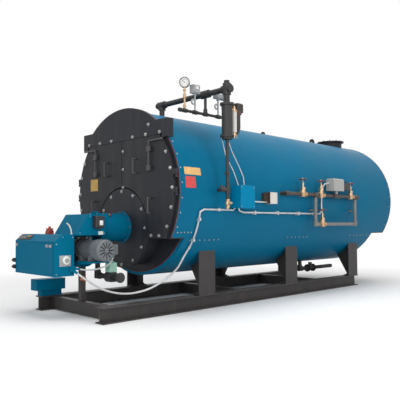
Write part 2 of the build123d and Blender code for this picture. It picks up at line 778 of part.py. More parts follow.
with BuildPart() as lifting_lugs:
    for lug_y, lug_size in lug_spots:
        eye_height = crown + lug_size / 2
        block(at(-lug_plate / 2, lug_y - lug_size, axis_height),
              at(lug_plate / 2, lug_y + lug_size, eye_height))
        rod(at(-lug_plate / 2, lug_y, eye_height), at(lug_plate / 2, lug_y, eye_height), lug_size)
        rod(at(-lug_plate, lug_y, eye_height), at(lug_plate, lug_y, eye_height), lug_size * 0.4,
            Mode.SUBTRACT)
    cut_shell()
lifting_lugs.part.label = "lifting_lugs"
export_step(lifting_lugs.part, "parts/lifting_lugs.step")

# Steam nozzle, equalising pipe, and the tee and cross at its ends
cross_radius = steam_radius * 1.4
cross_arm = steam_radius * 1.9
with BuildPart() as equalising_pipe:
    rod(at(0, steam_y, axis_height), at(0, steam_y, steam_height), steam_radius)
    rod(at(0, steam_y, axis_height), at(0, steam_y, crown + nozzle_rise), steam_radius * 2)
    cut_shell()
    rod(at(0, steam_y, steam_height), at(column_x, steam_y, steam_height), steam_radius)
    rod(at(0, steam_y, steam_height - cross_arm), at(0, steam_y, steam_height), cross_radius)
    rod(at(-cross_arm, steam_y, steam_height), at(cross_arm, steam_y, steam_height), cross_radius)
    nut(at(-cross_arm - steam_radius, steam_y, steam_height), at(-cross_arm, steam_y, steam_height),
        steam_radius)
    rod(at(column_x, steam_y, column_top), at(column_x, steam_y, steam_height), steam_radius)
    rod(at(column_x, steam_y, steam_height - cross_arm), at(column_x, steam_y, steam_height + cross_arm),
        cross_radius)
    rod(at(column_x - cross_arm, steam_y, steam_height), at(column_x + cross_arm, steam_y, steam_height),
        cross_radius)
    nut(at(column_x, steam_y, steam_height + cross_arm),
        at(column_x, steam_y, steam_height + cross_arm + steam_radius),
        steam_radius)
    rod(at(manifold_x - cross_arm, steam_y, steam_height), at(manifold_x + cross_arm, steam_y, steam_height),
        cross_radius)
equalising_pipe.part.label = "equalising_pipe"
export_step(equalising_pipe.part, "parts/equalising_pipe.step")

# Control manifold hung under the equalising pipe, with a fitting below each control
tee_half = manifold_radius * 1.8
with BuildPart() as control_manifold:
    rod(at(manifold_x, manifold_front, manifold_height), at(manifold_x, manifold_rear, manifold_height),
        manifold_radius)
    rod(at(manifold_x, steam_y, manifold_height), at(manifold_x, steam_y, steam_height), manifold_radius)
    for tee_y in (gauge_y, control_spots[0], steam_y, control_spots[1], control_spots[2]):
        rod(at(manifold_x, tee_y - tee_half, manifold_height),
            at(manifold_x, tee_y + tee_half, manifold_height),
            manifold_radius * 1.45)
    for end_y in (manifold_front, manifold_rear):
        nut(at(manifold_x, end_y - manifold_radius, manifold_height),
            at(manifold_x, end_y + manifold_radius, manifold_height),
            manifold_radius * 1.5)
    rod(at(manifold_x, steam_y, manifold_height), at(manifold_x, steam_y, manifold_height + 2 * tee_half),
        manifold_radius * 1.45)
    rod(at(0, steam_y, steam_height), at(column_x, steam_y, steam_height), cross_radius, Mode.SUBTRACT)
control_manifold.part.label = "control_manifold"
export_step(control_manifold.part, "parts/control_manifold.step")

# Pressure gauge on its siphon, turned towards the front right, its dial set back inside the bezel
gauge_facing = Vector(math.sin(math.radians(gauge_turn)), -math.cos(math.radians(gauge_turn)), 0)
gauge_centre = at(manifold_x, gauge_y, gauge_height)
gauge_front = gauge_centre + gauge_facing * (gauge_depth / 2)
seat_height = manifold_height + manifold_radius * 1.45
with BuildPart() as pressure_gauge:
    rod(gauge_centre - gauge_facing * (gauge_depth / 2), gauge_front, gauge_radius)
    rod(gauge_front - gauge_facing * gauge_bezel, gauge_front, gauge_radius - gauge_bezel, Mode.SUBTRACT)
    rod(at(manifold_x, gauge_y, seat_height), at(manifold_x, gauge_y, gauge_height - gauge_radius * 0.7),
        siphon_radius)
    for low, high in ((0.04, 0.14), (0.4, 0.56), (0.66, 0.74)):
        reach = gauge_height - seat_height
        nut(at(manifold_x, gauge_y, seat_height + low * reach),
            at(manifold_x, gauge_y, seat_height + high * reach),
            siphon_radius * 1.9)
pressure_gauge.part.label = "pressure_gauge"
export_step(pressure_gauge.part, "parts/pressure_gauge.step")

# One pressure control, a box with a lid on a pigtail siphon, built about the siphon's foot
control_seat = control_bottom - seat_height
with BuildPart() as control:
    block(Vector(-control_depth / 2, -control_width / 2, control_seat),
          Vector(control_depth / 2, control_width / 2, control_seat + control_height))
    block(Vector(control_depth / 2, control_lid - control_width / 2, control_seat + control_lid),
          Vector(control_depth / 2 + control_lid, control_width / 2 - control_lid,
                 control_seat + control_height - control_lid))
    rod(Vector(0, 0, 0), Vector(0, 0, control_seat), siphon_radius)
    nut(Vector(0, 0, control_seat - 2 * siphon_radius), Vector(0, 0, control_seat), siphon_radius * 2)
    loop_centre = Vector(0, -loop_radius, control_seat / 2)
    with BuildSketch(Plane(origin=loop_centre, x_dir=(0, 1, 0), z_dir=(0, 0, 1))):
        with Locations((loop_radius, 0)):
            RegularPolygon(siphon_radius * 1.15, 6)
    revolve(axis=Axis(loop_centre, (1, 0, 0)))

# Pressure controls along the manifold
with BuildPart() as pressure_controls:
    for control_y in control_spots:
        with Locations(at(manifold_x, control_y, seat_height)):
            add(control.part)
pressure_controls.part.label = "pressure_controls"
export_step(pressure_controls.part, "parts/pressure_controls.step")

# Water column below the cross, with a flange at each end
with BuildPart() as water_column:
    rod(at(column_x, steam_y, column_bottom), at(column_x, steam_y, column_top), column_radius)
    for plate_low in (column_bottom + column_plate, column_top - column_plate):
        rod(at(column_x, steam_y, plate_low), at(column_x, steam_y, plate_low + column_plate), column_flange)
water_column.part.label = "water_column"
export_step(water_column.part, "parts/water_column.step")

# Gauge glass between its two cocks, and the open guard round it
with BuildPart() as gauge_glass:
    rod(at(column_x, glass_y, glass_low), at(column_x, glass_y, glass_high), glass_radius)
    for height, way in ((glass_low, -1), (glass_high, 1)):
        rod(at(column_x, steam_y, height), at(column_x, glass_y + 1.4 * fitting_half, height),
            fitting_radius * 0.65)
        nut(at(column_x, steam_y + column_radius, height),
            at(column_x, steam_y + column_radius + fitting_radius, height),
            fitting_radius)
        rod(at(column_x, glass_y, height - fitting_half), at(column_x, glass_y, height + fitting_half),
            fitting_radius)
        nut(at(column_x, glass_y, height + way * fitting_half),
            at(column_x, glass_y, height + way * 2 * fitting_half),
            fitting_radius * 0.7)
    rod(at(column_x, steam_y, column_bottom), at(column_x, steam_y, column_top), column_radius,
        Mode.SUBTRACT)
gauge_glass.part.label = "gauge_glass"
export_step(gauge_glass.part, "parts/gauge_glass.step")

guard_low = glass_low + fitting_half
guard_high = glass_high - fitting_half
with BuildPart() as glass_guard:
    rod(at(column_x, glass_y, guard_low), at(column_x, glass_y, guard_high), guard_radius)
    rod(at(column_x, glass_y, guard_low + guard_wall), at(column_x, glass_y, guard_high - guard_wall),
        guard_radius - guard_wall, Mode.SUBTRACT)
    rod(at(column_x, glass_y, guard_low), at(column_x, glass_y, guard_high), glass_radius + pin_clearance,
        Mode.SUBTRACT)
    block(at(column_x - guard_radius, glass_y - guard_radius, guard_low + guard_wall),
          at(column_x - glass_radius, glass_y + guard_radius, guard_high - guard_wall), Mode.SUBTRACT)
glass_guard.part.label = "glass_guard"
export_step(glass_guard.part, "parts/glass_guard.step")

# Auxiliary cutoff beside the column: a bowl below a flange, with a switch box on top
bowl_radius = 40
bowl_plate = 20
bowl_lip = 14
bowl_depth = 180
bowl_end = 235
drain_end = 262
link_radius = 15
lid_chamfer = 12
cutoff_flange = cutoff_top - cutoff_box + bowl_plate - 26
link_height = cutoff_flange - 50
with BuildPart() as auxiliary_cutoff:
    with BuildSketch(Plane(origin=at(cutoff_x, cutoff_y, cutoff_flange), x_dir=(1, 0, 0), z_dir=(0, -1, 0))):
        with BuildLine():
            Polyline((0, 0), (bowl_radius + bowl_lip, 0), (bowl_radius + bowl_lip, -bowl_plate),
                     (bowl_radius, -bowl_plate), (bowl_radius, -bowl_depth),
                     (bowl_radius * 0.62, -bowl_end), (bowl_radius * 0.35, -bowl_end),
                     (bowl_radius * 0.35, -drain_end), (0, -drain_end), close=True)
        make_face()
    revolve(axis=Axis(at(cutoff_x, cutoff_y, cutoff_flange), (0, 0, 1)))
    with Locations(at(cutoff_x, cutoff_y, (cutoff_flange + cutoff_top) / 2)):
        Box(cutoff_box, cutoff_box, cutoff_top - cutoff_flange)
    chamfer(auxiliary_cutoff.faces().sort_by(Axis.Z)[-1].edges(), lid_chamfer)
    tube([at(column_x, steam_y, link_height), at(cutoff_x, steam_y + 90, link_height),
          at(cutoff_x, cutoff_y, link_height)], link_radius)
    rod(at(column_x, steam_y, column_bottom), at(column_x, steam_y, column_top), column_radius,
        Mode.SUBTRACT)
auxiliary_cutoff.part.label = "auxiliary_cutoff"
export_step(auxiliary_cutoff.part, "parts/auxiliary_cutoff.step")

# Drain leg below the column with the lower equalising pipe, a lever cock and a drain valve
cock_reach = 120
with BuildPart() as column_drain:
    rod(at(column_x, steam_y, leg_end), at(column_x, steam_y, column_bottom), leg_radius)
    rod(at(0, steam_y, leg_height), at(column_x, steam_y, leg_height), leg_radius)
    rod(at(column_x, steam_y, leg_height - 2 * leg_radius),
        at(column_x, steam_y, leg_height + 2 * leg_radius),
        leg_radius * 1.5)
    rod(at(column_x, steam_y, leg_height), at(column_x, steam_y - cock_reach, leg_height), leg_radius)
    nut(at(column_x, steam_y - cock_reach * 0.75, leg_height),
        at(column_x, steam_y - cock_reach * 0.4, leg_height),
        leg_radius * 1.4)
    block(at(column_x - leg_radius / 4, steam_y - cock_reach, leg_height + leg_radius / 2),
          at(column_x + leg_radius / 4, steam_y - cock_reach * 0.5, leg_height + leg_radius * 2))
    nut(at(column_x, steam_y, leg_height + 170), at(column_x, steam_y, leg_height + 200), leg_radius * 1.5)
    cut_shell()
column_drain.part.label = "column_drain"
export_step(column_drain.part, "parts/column_drain.step")

with BuildPart() as drain_valve:
    rod(at(column_x, steam_y, leg_end - 5.5 * leg_radius), at(column_x, steam_y, leg_end), leg_radius * 0.9)
    for low, high in ((0, 1), (3.6, 4.6)):
        nut(at(column_x, steam_y, leg_end - high * leg_radius),
            at(column_x, steam_y, leg_end - low * leg_radius),
            leg_radius * 1.35)
    rod(at(column_x, steam_y, leg_end - 3.2 * leg_radius), at(column_x, steam_y, leg_end - 1.4 * leg_radius),
        leg_radius * 1.5)
    rod(at(column_x, steam_y, leg_end - 2.3 * leg_radius),
        at(column_x + 2.6 * leg_radius, steam_y, leg_end - 2.3 * leg_radius),
        leg_radius * 0.8)
    block(at(column_x + 2.6 * leg_radius, steam_y - 2.6 * leg_radius, leg_end - 2.6 * leg_radius),
          at(column_x + 3 * leg_radius, steam_y + leg_radius, leg_end - 2 * leg_radius))
drain_valve.part.label = "drain_valve"
export_step(drain_valve.part, "parts/drain_valve.step")

# Junction box on the side of the jacket, its cover standing proud
box_rear = box_front + box_length
box_top = box_bottom + box_height
cover_depth = 10
with BuildPart() as junction_box:
    block(at(0, box_front, box_bottom), at(box_reach - cover_depth, box_rear, box_top))
    block(at(box_reach - cover_depth, box_front - cover_depth / 2, box_bottom - cover_depth / 2),
          at(box_reach, box_rear + cover_depth / 2, box_top + cover_depth / 2))
    cut_shell()
junction_box.part.label = "junction_box"
export_step(junction_box.part, "parts/junction_box.step")

# Conduit held by the jacket: the run up from the burner, the run to the regulator, and the leads to the box
coupling_way = (burner_route[-1] - burner_route[-2]).normalized()
coupling_end = burner_route[-1] + coupling_way * gland_length
climb_radius = math.hypot(coupling_end.X - axis_x, coupling_end.Z - axis_height)
climb_start = math.degrees(math.atan2(coupling_end.Z - axis_height, coupling_end.X - axis_x))
climb_end = math.degrees(math.asin((conduit_height - axis_height) / climb_radius))
climb_y = coupling_end.Y - front_y
climb_steps = 5
bend_reach = 40
climb = [coupling_end]
for step in range(1, climb_steps + 1):
    angle = math.radians(climb_start + (climb_end - climb_start) * step / climb_steps)
    climb.append(at(climb_radius * math.cos(angle), climb_y - 4 * step,
                    axis_height + climb_radius * math.sin(angle)))
top_x = climb[-1].X - axis_x
climb_top = conduit_height + bend_reach * 0.7
entry_y = box_front + 65
bite = 8
climb += [at(top_x + 4, climb_y + bend_reach, climb_top), at(top_x + 4, entry_y - bend_reach, climb_top),
          at(top_x + 4, entry_y, box_bottom + bite)]
outlet_start = box_front + 98
rise_y = regulator_front - 120
regulator_run = [at(conduit_x, outlet_start, box_bottom + bite),
                 at(conduit_x, outlet_start + 17, box_bottom - bend_reach * 0.7),
                 at(conduit_x, outlet_start + 17 + 2 * bend_reach, conduit_height),
                 at(conduit_x, rise_y - 49, conduit_height),
                 at(conduit_x, rise_y, conduit_height + bend_reach), at(conduit_x, rise_y, feed_height + 90),
                 at(conduit_x + 35, rise_y + 31, feed_height + 165),
                 at(conduit_x + 45, regulator_front + bite, feed_height + 185)]
lead_seat = column_bottom + column_plate
lead_fall = lead_seat - box_top
lead_runs = ([at(column_x - 72, steam_y - 18, lead_seat + bite),
              at(column_x - 66, steam_y + 48, box_top + 0.61 * lead_fall),
              at(column_x - 58, steam_y + 168, box_top + 0.3 * lead_fall),
              at(column_x - 50, box_front + 11, box_top - bite)],
             [at(column_x - 50, steam_y + 48, lead_seat + bite),
              at(column_x - 50, steam_y + 143, box_top + 0.7 * lead_fall),
              at(column_x - 50, steam_y + 258, box_top + 0.41 * lead_fall),
              at(column_x - 50, box_front + 98, box_top + 0.19 * lead_fall),
              at(column_x - 50, box_front + 111, box_top - bite)])
transmitter_run = [at(box_reach - 110, box_rear, transmitter_bottom + 20),
                   at(box_reach - 110, transmitter_y, transmitter_bottom + 20)]
clip_half = 12
clip_spots = (1240, 1700, 2160, 2560)
regulator_rear = regulator_front + regulator_length
regulator_top = regulator_bottom + regulator_height
with BuildPart() as side_conduit:
    rod(burner_route[-1], coupling_end, conduit_radius + gland_wall)
    tube(climb, conduit_radius)
    tube(regulator_run, conduit_radius)
    rod(*transmitter_run, lead_radius * 1.5)
    for run in lead_runs:
        tube(run, lead_radius)
    for clip_point in (climb[1], climb[4], at(top_x, 600, climb_top)):
        with Locations(clip_point):
            Box(4 * clip_half, 2 * clip_half, 3 * clip_half)
    for clip_y in clip_spots:
        block(at(0, clip_y - clip_half, conduit_height - 2 * clip_half),
              at(conduit_x + 4, clip_y + clip_half, conduit_height + 2 * clip_half))
    cut_shell()
    block(at(0, box_front, box_bottom), at(box_reach, box_rear, box_top), Mode.SUBTRACT)
    block(at(0, regulator_front, regulator_bottom), at(feed_x, regulator_rear, regulator_top), Mode.SUBTRACT)
    rod(at(column_x, steam_y, lead_seat), at(column_x, steam_y, column_top), column_flange, Mode.SUBTRACT)
side_conduit.part.label = "side_conduit"
export_step(side_conduit.part, "parts/side_conduit.step")

# Level transmitter: a square head in front of its mounting body
with BuildPart() as level_transmitter:
    block(at(0, transmitter_y, transmitter_bottom),
          at(transmitter_reach, transmitter_y + transmitter_size, transmitter_bottom + transmitter_size))
    block(at(0, transmitter_y - 55, transmitter_bottom + 35),
          at(transmitter_reach - 45, transmitter_y, transmitter_bottom + transmitter_size - 10))
    cut_shell()
level_transmitter.part.label = "level_transmitter"
export_step(level_transmitter.part, "parts/level_transmitter.step")

# Feedwater pipes: the main line with the regulator's body, the bypass loop, tees and wall brackets
regulator_y = regulator_front + regulator_length * 0.6
tee_arm = feed_radius * 1.7
with BuildPart() as feed_pipes:
    pipe([at(0, feed_front, feed_height), at(feed_x, feed_front, feed_height),
          at(feed_x, feed_rear, feed_height)], feed_radius)
    pipe([at(feed_x, bypass_rear, feed_height), at(feed_x, bypass_rear, bypass_height),
          at(feed_x, bypass_front, bypass_height),
          at(feed_x, bypass_front, feed_height)], feed_radius)
    for tee_y in (bypass_front, bypass_rear):
        rod(at(feed_x, tee_y - tee_arm, feed_height), at(feed_x, tee_y + tee_arm, feed_height),
            feed_radius * 1.3)
        rod(at(feed_x, tee_y, feed_height - tee_arm), at(feed_x, tee_y, feed_height), feed_radius * 1.3)
        block(at(0, tee_y - bracket_width / 2, bracket_height - bracket_depth / 2),
              at(feed_x, tee_y + bracket_width / 2, bracket_height + bracket_depth / 2))
    nut(at(feed_x, feed_rear - feed_radius, feed_height), at(feed_x, feed_rear + feed_radius, feed_height),
        feed_radius * 1.5)
    rod(at(feed_x, regulator_y - regulator_body, feed_height),
        at(feed_x, regulator_y + regulator_body, feed_height),
        feed_radius * 1.45)
    for name, valve_y, height in valve_spots:
        block(at(feed_x - valve_half, valve_y - valve_half, height - valve_half),
              at(feed_x + valve_half, valve_y + valve_half, height + valve_half), Mode.SUBTRACT)
    cut_shell()
feed_pipes.part.label = "feed_pipes"
export_step(feed_pipes.part, "parts/feed_pipes.step")

# Gate valves: bodies with six-sided ends, bonnets, glands and stems
hex_depth = 24
with BuildPart() as feed_valves:
    for name, valve_y, height in valve_spots:
        rod(at(feed_x, valve_y - valve_half, height), at(feed_x, valve_y + valve_half, height),
            feed_radius * 1.15)
        for end in (-valve_half, valve_half - hex_depth):
            nut(at(feed_x, valve_y + end, height), at(feed_x, valve_y + end + hex_depth, height),
                feed_radius * 1.6)
        rod(at(feed_x, valve_y, height - feed_radius * 1.4),
            at(feed_x, valve_y, height + bonnet_height - hex_depth),
            feed_radius * 1.3)
        nut(at(feed_x, valve_y, height + bonnet_height - hex_depth),
            at(feed_x, valve_y, height + bonnet_height),
            feed_radius * 1.55)
        rod(at(feed_x, valve_y, height), at(feed_x, valve_y, height + gland_height), feed_radius * 0.7)
        nut(at(feed_x, valve_y, height + gland_height),
            at(feed_x, valve_y, height + gland_height + hex_depth), feed_radius * 0.75)
        rod(at(feed_x, valve_y, height), at(feed_x, valve_y, height + stem_height + hex_depth), stem_radius)
feed_valves.part.label = "feed_valves"
export_step(feed_valves.part, "parts/feed_valves.step")

# Handwheels with a rim, three spokes across and a hub
hub_radius = 15
hub_depth = 20
for name, valve_y, height in valve_spots:
    hub = at(feed_x, valve_y, height + stem_height)
    with BuildPart() as handwheel:
        with BuildSketch(Plane(origin=hub, x_dir=(1, 0, 0), z_dir=(0, -1, 0))):
            with Locations((wheel_radius - wheel_rim, 0)):
                RegularPolygon(wheel_rim, 6)
        revolve(axis=Axis(hub, (0, 0, 1)))
        with Locations(hub):
            Cylinder(hub_radius, hub_depth)
            for turn in (0, 60, 120):
                with Locations(Location((0, 0, 0), (0, 0, turn))):
                    Box(2 * (wheel_radius - wheel_rim), wheel_rim, wheel_rim)
            Cylinder(stem_radius + pin_clearance, 3 * hub_depth, mode=Mode.SUBTRACT)
    handwheel.part.label = f"{name}_wheel"
    export_step(handwheel.part, f"parts/{name}_wheel.step")

# Feedwater regulator: a box and its drive over the valve body
with BuildPart() as feed_regulator:
    block(at(feed_x - regulator_width / 2, regulator_front, regulator_bottom),
          at(feed_x + regulator_width / 2, regulator_rear, regulator_top))
    chamfer(feed_regulator.edges().filter_by(Axis.Y).group_by(Axis.Z)[-1], 20)
    block(at(feed_x - regulator_width * 0.35, regulator_rear, regulator_bottom + 24),
          at(feed_x + regulator_width * 0.35, regulator_rear + regulator_motor, regulator_bottom + 120))
    rod(at(feed_x, regulator_y, feed_height), at(feed_x, regulator_y, regulator_bottom), feed_radius * 0.9)
    rod(at(feed_x, regulator_y - regulator_body, feed_height),
        at(feed_x, regulator_y + regulator_body, feed_height),
        feed_radius * 1.45, Mode.SUBTRACT)
feed_regulator.part.label = "feed_regulator"
export_step(feed_regulator.part, "parts/feed_regulator.step")

# Blowdown line under the shell, with a flanged valve
valve_front = blowdown_valve_y - blowdown_valve_length / 2
valve_rear = blowdown_valve_y + blowdown_valve_length / 2
with BuildPart() as blowdown_pipe:
    pipe([at(blowdown_x, blowdown_y, axis_height), at(blowdown_x, blowdown_y, blowdown_height),
          at(blowdown_x, blowdown_end, blowdown_height)], blowdown_radius)
    cut_shell()
    block(at(blowdown_x - 3 * blowdown_radius, valve_front, blowdown_height - 3 * blowdown_radius),
          at(blowdown_x + 3 * blowdown_radius, valve_rear, blowdown_height + 3 * blowdown_radius),
          Mode.SUBTRACT)
blowdown_pipe.part.label = "blowdown_pipe"
export_step(blowdown_pipe.part, "parts/blowdown_pipe.step")

valve_plate = 20
with BuildPart() as blowdown_valve:
    rod(at(blowdown_x, valve_front, blowdown_height), at(blowdown_x, valve_rear, blowdown_height),
        blowdown_radius * 1.25)
    for end_y in (valve_front, valve_rear - valve_plate):
        rod(at(blowdown_x, end_y, blowdown_height), at(blowdown_x, end_y + valve_plate, blowdown_height),
            blowdown_radius * 2)
    rod(at(blowdown_x, blowdown_valve_y, blowdown_height),
        at(blowdown_x, blowdown_valve_y, blowdown_height + 3 * blowdown_radius), blowdown_radius)
blowdown_valve.part.label = "blowdown_valve"
export_step(blowdown_valve.part, "parts/blowdown_valve.step")
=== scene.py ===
import json
import math

import bpy
from mathutils import Matrix, Vector

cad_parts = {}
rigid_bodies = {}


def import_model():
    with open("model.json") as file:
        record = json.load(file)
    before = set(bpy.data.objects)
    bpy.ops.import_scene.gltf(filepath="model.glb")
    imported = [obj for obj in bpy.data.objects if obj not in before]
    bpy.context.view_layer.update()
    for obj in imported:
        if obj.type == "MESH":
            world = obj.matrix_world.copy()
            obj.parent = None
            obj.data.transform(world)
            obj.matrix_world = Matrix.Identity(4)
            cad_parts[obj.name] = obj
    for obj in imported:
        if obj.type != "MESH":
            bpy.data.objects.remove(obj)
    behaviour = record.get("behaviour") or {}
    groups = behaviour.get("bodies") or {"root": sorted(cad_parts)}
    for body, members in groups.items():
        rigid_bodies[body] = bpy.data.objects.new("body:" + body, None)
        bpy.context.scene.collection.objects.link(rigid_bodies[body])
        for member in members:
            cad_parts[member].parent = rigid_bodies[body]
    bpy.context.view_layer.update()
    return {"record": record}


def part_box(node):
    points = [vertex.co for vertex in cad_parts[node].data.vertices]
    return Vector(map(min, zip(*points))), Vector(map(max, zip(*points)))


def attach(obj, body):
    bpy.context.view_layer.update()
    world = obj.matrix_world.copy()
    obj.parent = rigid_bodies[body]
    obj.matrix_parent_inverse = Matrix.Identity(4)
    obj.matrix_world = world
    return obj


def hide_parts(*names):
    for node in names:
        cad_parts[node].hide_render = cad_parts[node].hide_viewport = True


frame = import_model()

# Places shared with the solids, in metres
JACKET_LOW, JACKET_HIGH = (Vector(corner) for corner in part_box("jacket"))
AXIS_X = (JACKET_LOW.x + JACKET_HIGH.x) / 2
FRONT_Y = JACKET_LOW.y
LENGTH = JACKET_HIGH.y - JACKET_LOW.y
AXIS_Z = (JACKET_LOW.z + JACKET_HIGH.z) / 2
RADIUS = (JACKET_HIGH.x - JACKET_LOW.x) / 2
DOOR_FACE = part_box("burner_plate")[0][1] - FRONT_Y
REAR_RIM = LENGTH + 0.053
DOOR_SILL = 0.861
LINTEL = 2.031
BURNER_Z = 0.975
BARREL_Z = BURNER_Z + 0.010
COLUMN = (1.150, 0.592)
UP = Vector((0, 0, 1))
FORWARD = Vector((0, -1, 0))
RIGHT = Vector((1, 0, 0))
QUARTERS = [math.radians(45 + 90 * step) for step in range(4)]


def at(x, y, z):
    """Point measured from the boiler axis, the front edge of the jacket and the floor."""
    return Vector((AXIS_X + x, FRONT_Y + y, z))


# Camera, fitted to the photograph's straight and round edges
CAMERA_PLACE = (5.288, -3.889, 1.011)
CAMERA_YAW, CAMERA_PITCH, CAMERA_ROLL = (math.radians(angle) for angle in (46.33, 2.0, -0.31))


def place_camera():
    """Camera to the right of the front end, about a metre above the floor."""
    data = bpy.data.cameras.new("photo_camera")
    camera = bpy.data.objects.new("photo_camera", data)
    bpy.context.collection.objects.link(camera)
    data.sensor_width = 36.0
    data.lens = 48.12
    data.shift_x = 0.015
    data.shift_y = 0.015
    data.clip_end = 200.0
    turn = Matrix.Rotation(CAMERA_YAW, 4, "Z") @ Matrix.Rotation(math.pi / 2 + CAMERA_PITCH, 4, "X")
    camera.matrix_world = Matrix.Translation(at(*CAMERA_PLACE)) @ turn @ Matrix.Rotation(CAMERA_ROLL, 4, "Z")
    bpy.context.scene.camera = camera


# Modelling steps shared by the pieces
ALONG = 0.9  # least cosine between a direction and the normal of a face that looks along it
SMOOTH_ANGLE = math.radians(35)
STRIP_SIDES = 192


def fresh():
    """Nothing selected, so that an operator touches only what comes next."""
    bpy.ops.object.select_all(action="DESELECT")


def take(piece):
    """Select one object and make it the active one."""
    fresh()
    piece.select_set(True)
    bpy.context.view_layer.objects.active = piece


def pick(piece, test):
    """Open a piece for editing with the faces that pass a test selected."""
    bpy.ops.object.mode_set(mode="OBJECT")
    for item in (*piece.data.vertices, *piece.data.edges):
        item.select = False
    for face in piece.data.polygons:
        face.select = test(face)
    bpy.ops.object.mode_set(mode="EDIT")


def close():
    """Leave edit mode."""
    bpy.ops.object.mode_set(mode="OBJECT")


def looks(face, way):
    """Whether a face looks along a direction."""
    return face.normal.dot(way) > ALONG


def step_face(piece, way, border, shift, least_area=0.0):
    """Move the large faces that look one way, inside a border and along that way."""
    pick(piece, lambda face: looks(face, way) and face.area > least_area)
    bpy.ops.mesh.inset(thickness=border)
    bpy.ops.transform.translate(value=way * shift)
    close()


def step_end(piece, way, border, shift):
    """Extrude the end of a round piece that looks one way, inside a border and along that way."""
    pick(piece, lambda face: looks(face, way) and len(face.vertices) > 4)
    bpy.ops.mesh.inset(thickness=border)
    bpy.ops.mesh.extrude_region_move(TRANSFORM_OT_translate={"value": way * shift})
    close()


def settle(piece):
    """Put a piece's place and size into its mesh."""
    take(piece)
    bpy.ops.object.transform_apply(location=True, rotation=True, scale=True)
    return piece


def box(low, high, rounding=0.002):
    """Box between two corners with rounded edges."""
    low, high = Vector(low), Vector(high)
    fresh()
    bpy.ops.mesh.primitive_cube_add(size=1.0, location=(low + high) / 2)
    piece = bpy.context.object
    piece.scale = high - low
    settle(piece)
    pick(piece, lambda face: True)
    bpy.ops.mesh.bevel(offset=rounding, segments=2, affect="EDGES")
    close()
    return piece


def drum(start, end, radius, sides=32, rounding=0.0015):
    """Round bar between two points with rounded rims."""
    start, end = Vector(start), Vector(end)
    run = end - start
    fresh()
    bpy.ops.mesh.primitive_cylinder_add(vertices=sides, radius=radius, depth=run.length,
                                        location=(start + end) / 2,
                                        rotation=run.to_track_quat("Z", "Y").to_euler())
    piece = settle(bpy.context.object)
    pick(piece, lambda face: len(face.vertices) > 4)
    bpy.ops.mesh.bevel(offset=rounding, segments=2, affect="EDGES")
    close()
    return piece


def join(pieces):
    """Several objects as one."""
    fresh()
    for piece in pieces:
        piece.select_set(True)
    bpy.context.view_layer.objects.active = pieces[0]
    bpy.ops.object.join()
    return pieces[0]


def keep(piece, name, body, finish):
    """Finish a piece: modifiers and place into the mesh, normals out, a name, a finish, a body and a slot."""
    take(piece)
    bpy.ops.object.convert(target="MESH")
    settle(piece)
    pick(piece, lambda face: True)
    bpy.ops.mesh.normals_make_consistent(inside=False)
    close()
    bpy.ops.object.shade_smooth_by_angle(angle=SMOOTH_ANGLE)
    piece.name = name
    piece.data.name = name
    piece.data.materials.clear()
    piece.data.materials.append(FINISH[finish])
    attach(piece, body)


def facing(point, direction, spin=0.0):
    """Placement with its own upward axis along a direction."""
    turn = Vector(direction).to_track_quat("Z", "Y").to_matrix().to_4x4()
    return Matrix.Translation(point) @ turn @ Matrix.Rotation(spin, 4, "Z")


def repeat(master, places):
    """Copies of a modelled piece at each place, each with its own mesh; the piece itself goes."""
    made = []
    for place in places:
        take(master)
        bpy.ops.object.duplicate()
        made.append(bpy.context.object)
        made[-1].matrix_world = place @ master.matrix_world
    take(master)
    bpy.ops.object.delete()
    return [settle(piece) for piece in made]


def copies(master, places, name, body, finish):
    """Copies of a modelled piece at each place, joined to one."""
    keep(join(repeat(master, places)), name, body, finish)


def model_bolt(radius):
    """Hexagon nut on a washer with the stud's end showing, standing on the ground plane."""
    fresh()
    bpy.ops.mesh.primitive_cylinder_add(vertices=6, radius=radius, depth=radius * 0.8,
                                        location=(0, 0, radius * 0.6))
    bolt = settle(bpy.context.object)
    pick(bolt, lambda face: looks(face, UP))
    bpy.ops.mesh.inset(thickness=radius * 0.14)
    bpy.ops.transform.translate(value=(0, 0, radius * 0.12))
    bpy.ops.mesh.inset(thickness=radius * 0.32)
    bpy.ops.mesh.extrude_region_move(TRANSFORM_OT_translate={"value": (0, 0, radius * 0.3)})
    bpy.ops.mesh.primitive_cylinder_add(vertices=16, radius=radius * 1.45, depth=radius * 0.2,
                                        location=(0, 0, radius * 0.1))
    close()
    return bolt


def model_screw(radius):
    """Low round screw head with a stepped crown."""
    fresh()
    bpy.ops.mesh.primitive_cylinder_add(vertices=10, radius=radius, depth=radius * 0.6,
                                        location=(0, 0, radius * 0.3))
    screw = settle(bpy.context.object)
    step_face(screw, UP, border=radius * 0.35, shift=radius * 0.25)
    return screw


def ring(centre, normal, radius, count, start=0.0):
    """Evenly spaced placements on a circle, facing along its axis."""
    turn = Vector(normal).to_track_quat("Z", "Y").to_matrix()
    step = 360.0 / count
    places = []
    for index in range(count):
        angle = math.radians(start + step * index)
        spot = Vector(centre) + turn @ Vector((radius * math.cos(angle), radius * math.sin(angle), 0))
        places.append(facing(spot, normal, angle))
    return places


def jacket_strip(radius, low_y, high_y, cuts, depth):
    """Strip of a cylinder about the boiler axis, kept on one side of each plane and thickened outwards."""
    fresh()
    bpy.ops.mesh.primitive_cylinder_add(vertices=STRIP_SIDES, radius=radius, depth=high_y - low_y,
                                        end_fill_type="NOTHING", location=at(0, (low_y + high_y) / 2, AXIS_Z),
                                        rotation=(math.pi / 2, 0, 0))
    strip = settle(bpy.context.object)
    for point, normal in cuts:
        pick(strip, lambda face: True)
        bpy.ops.mesh.bisect(plane_co=point, plane_no=normal, clear_inner=True)
    close()
    thick = strip.modifiers.new("thickness", "SOLIDIFY")
    thick.thickness = depth
    thick.offset = 1.0
    return strip


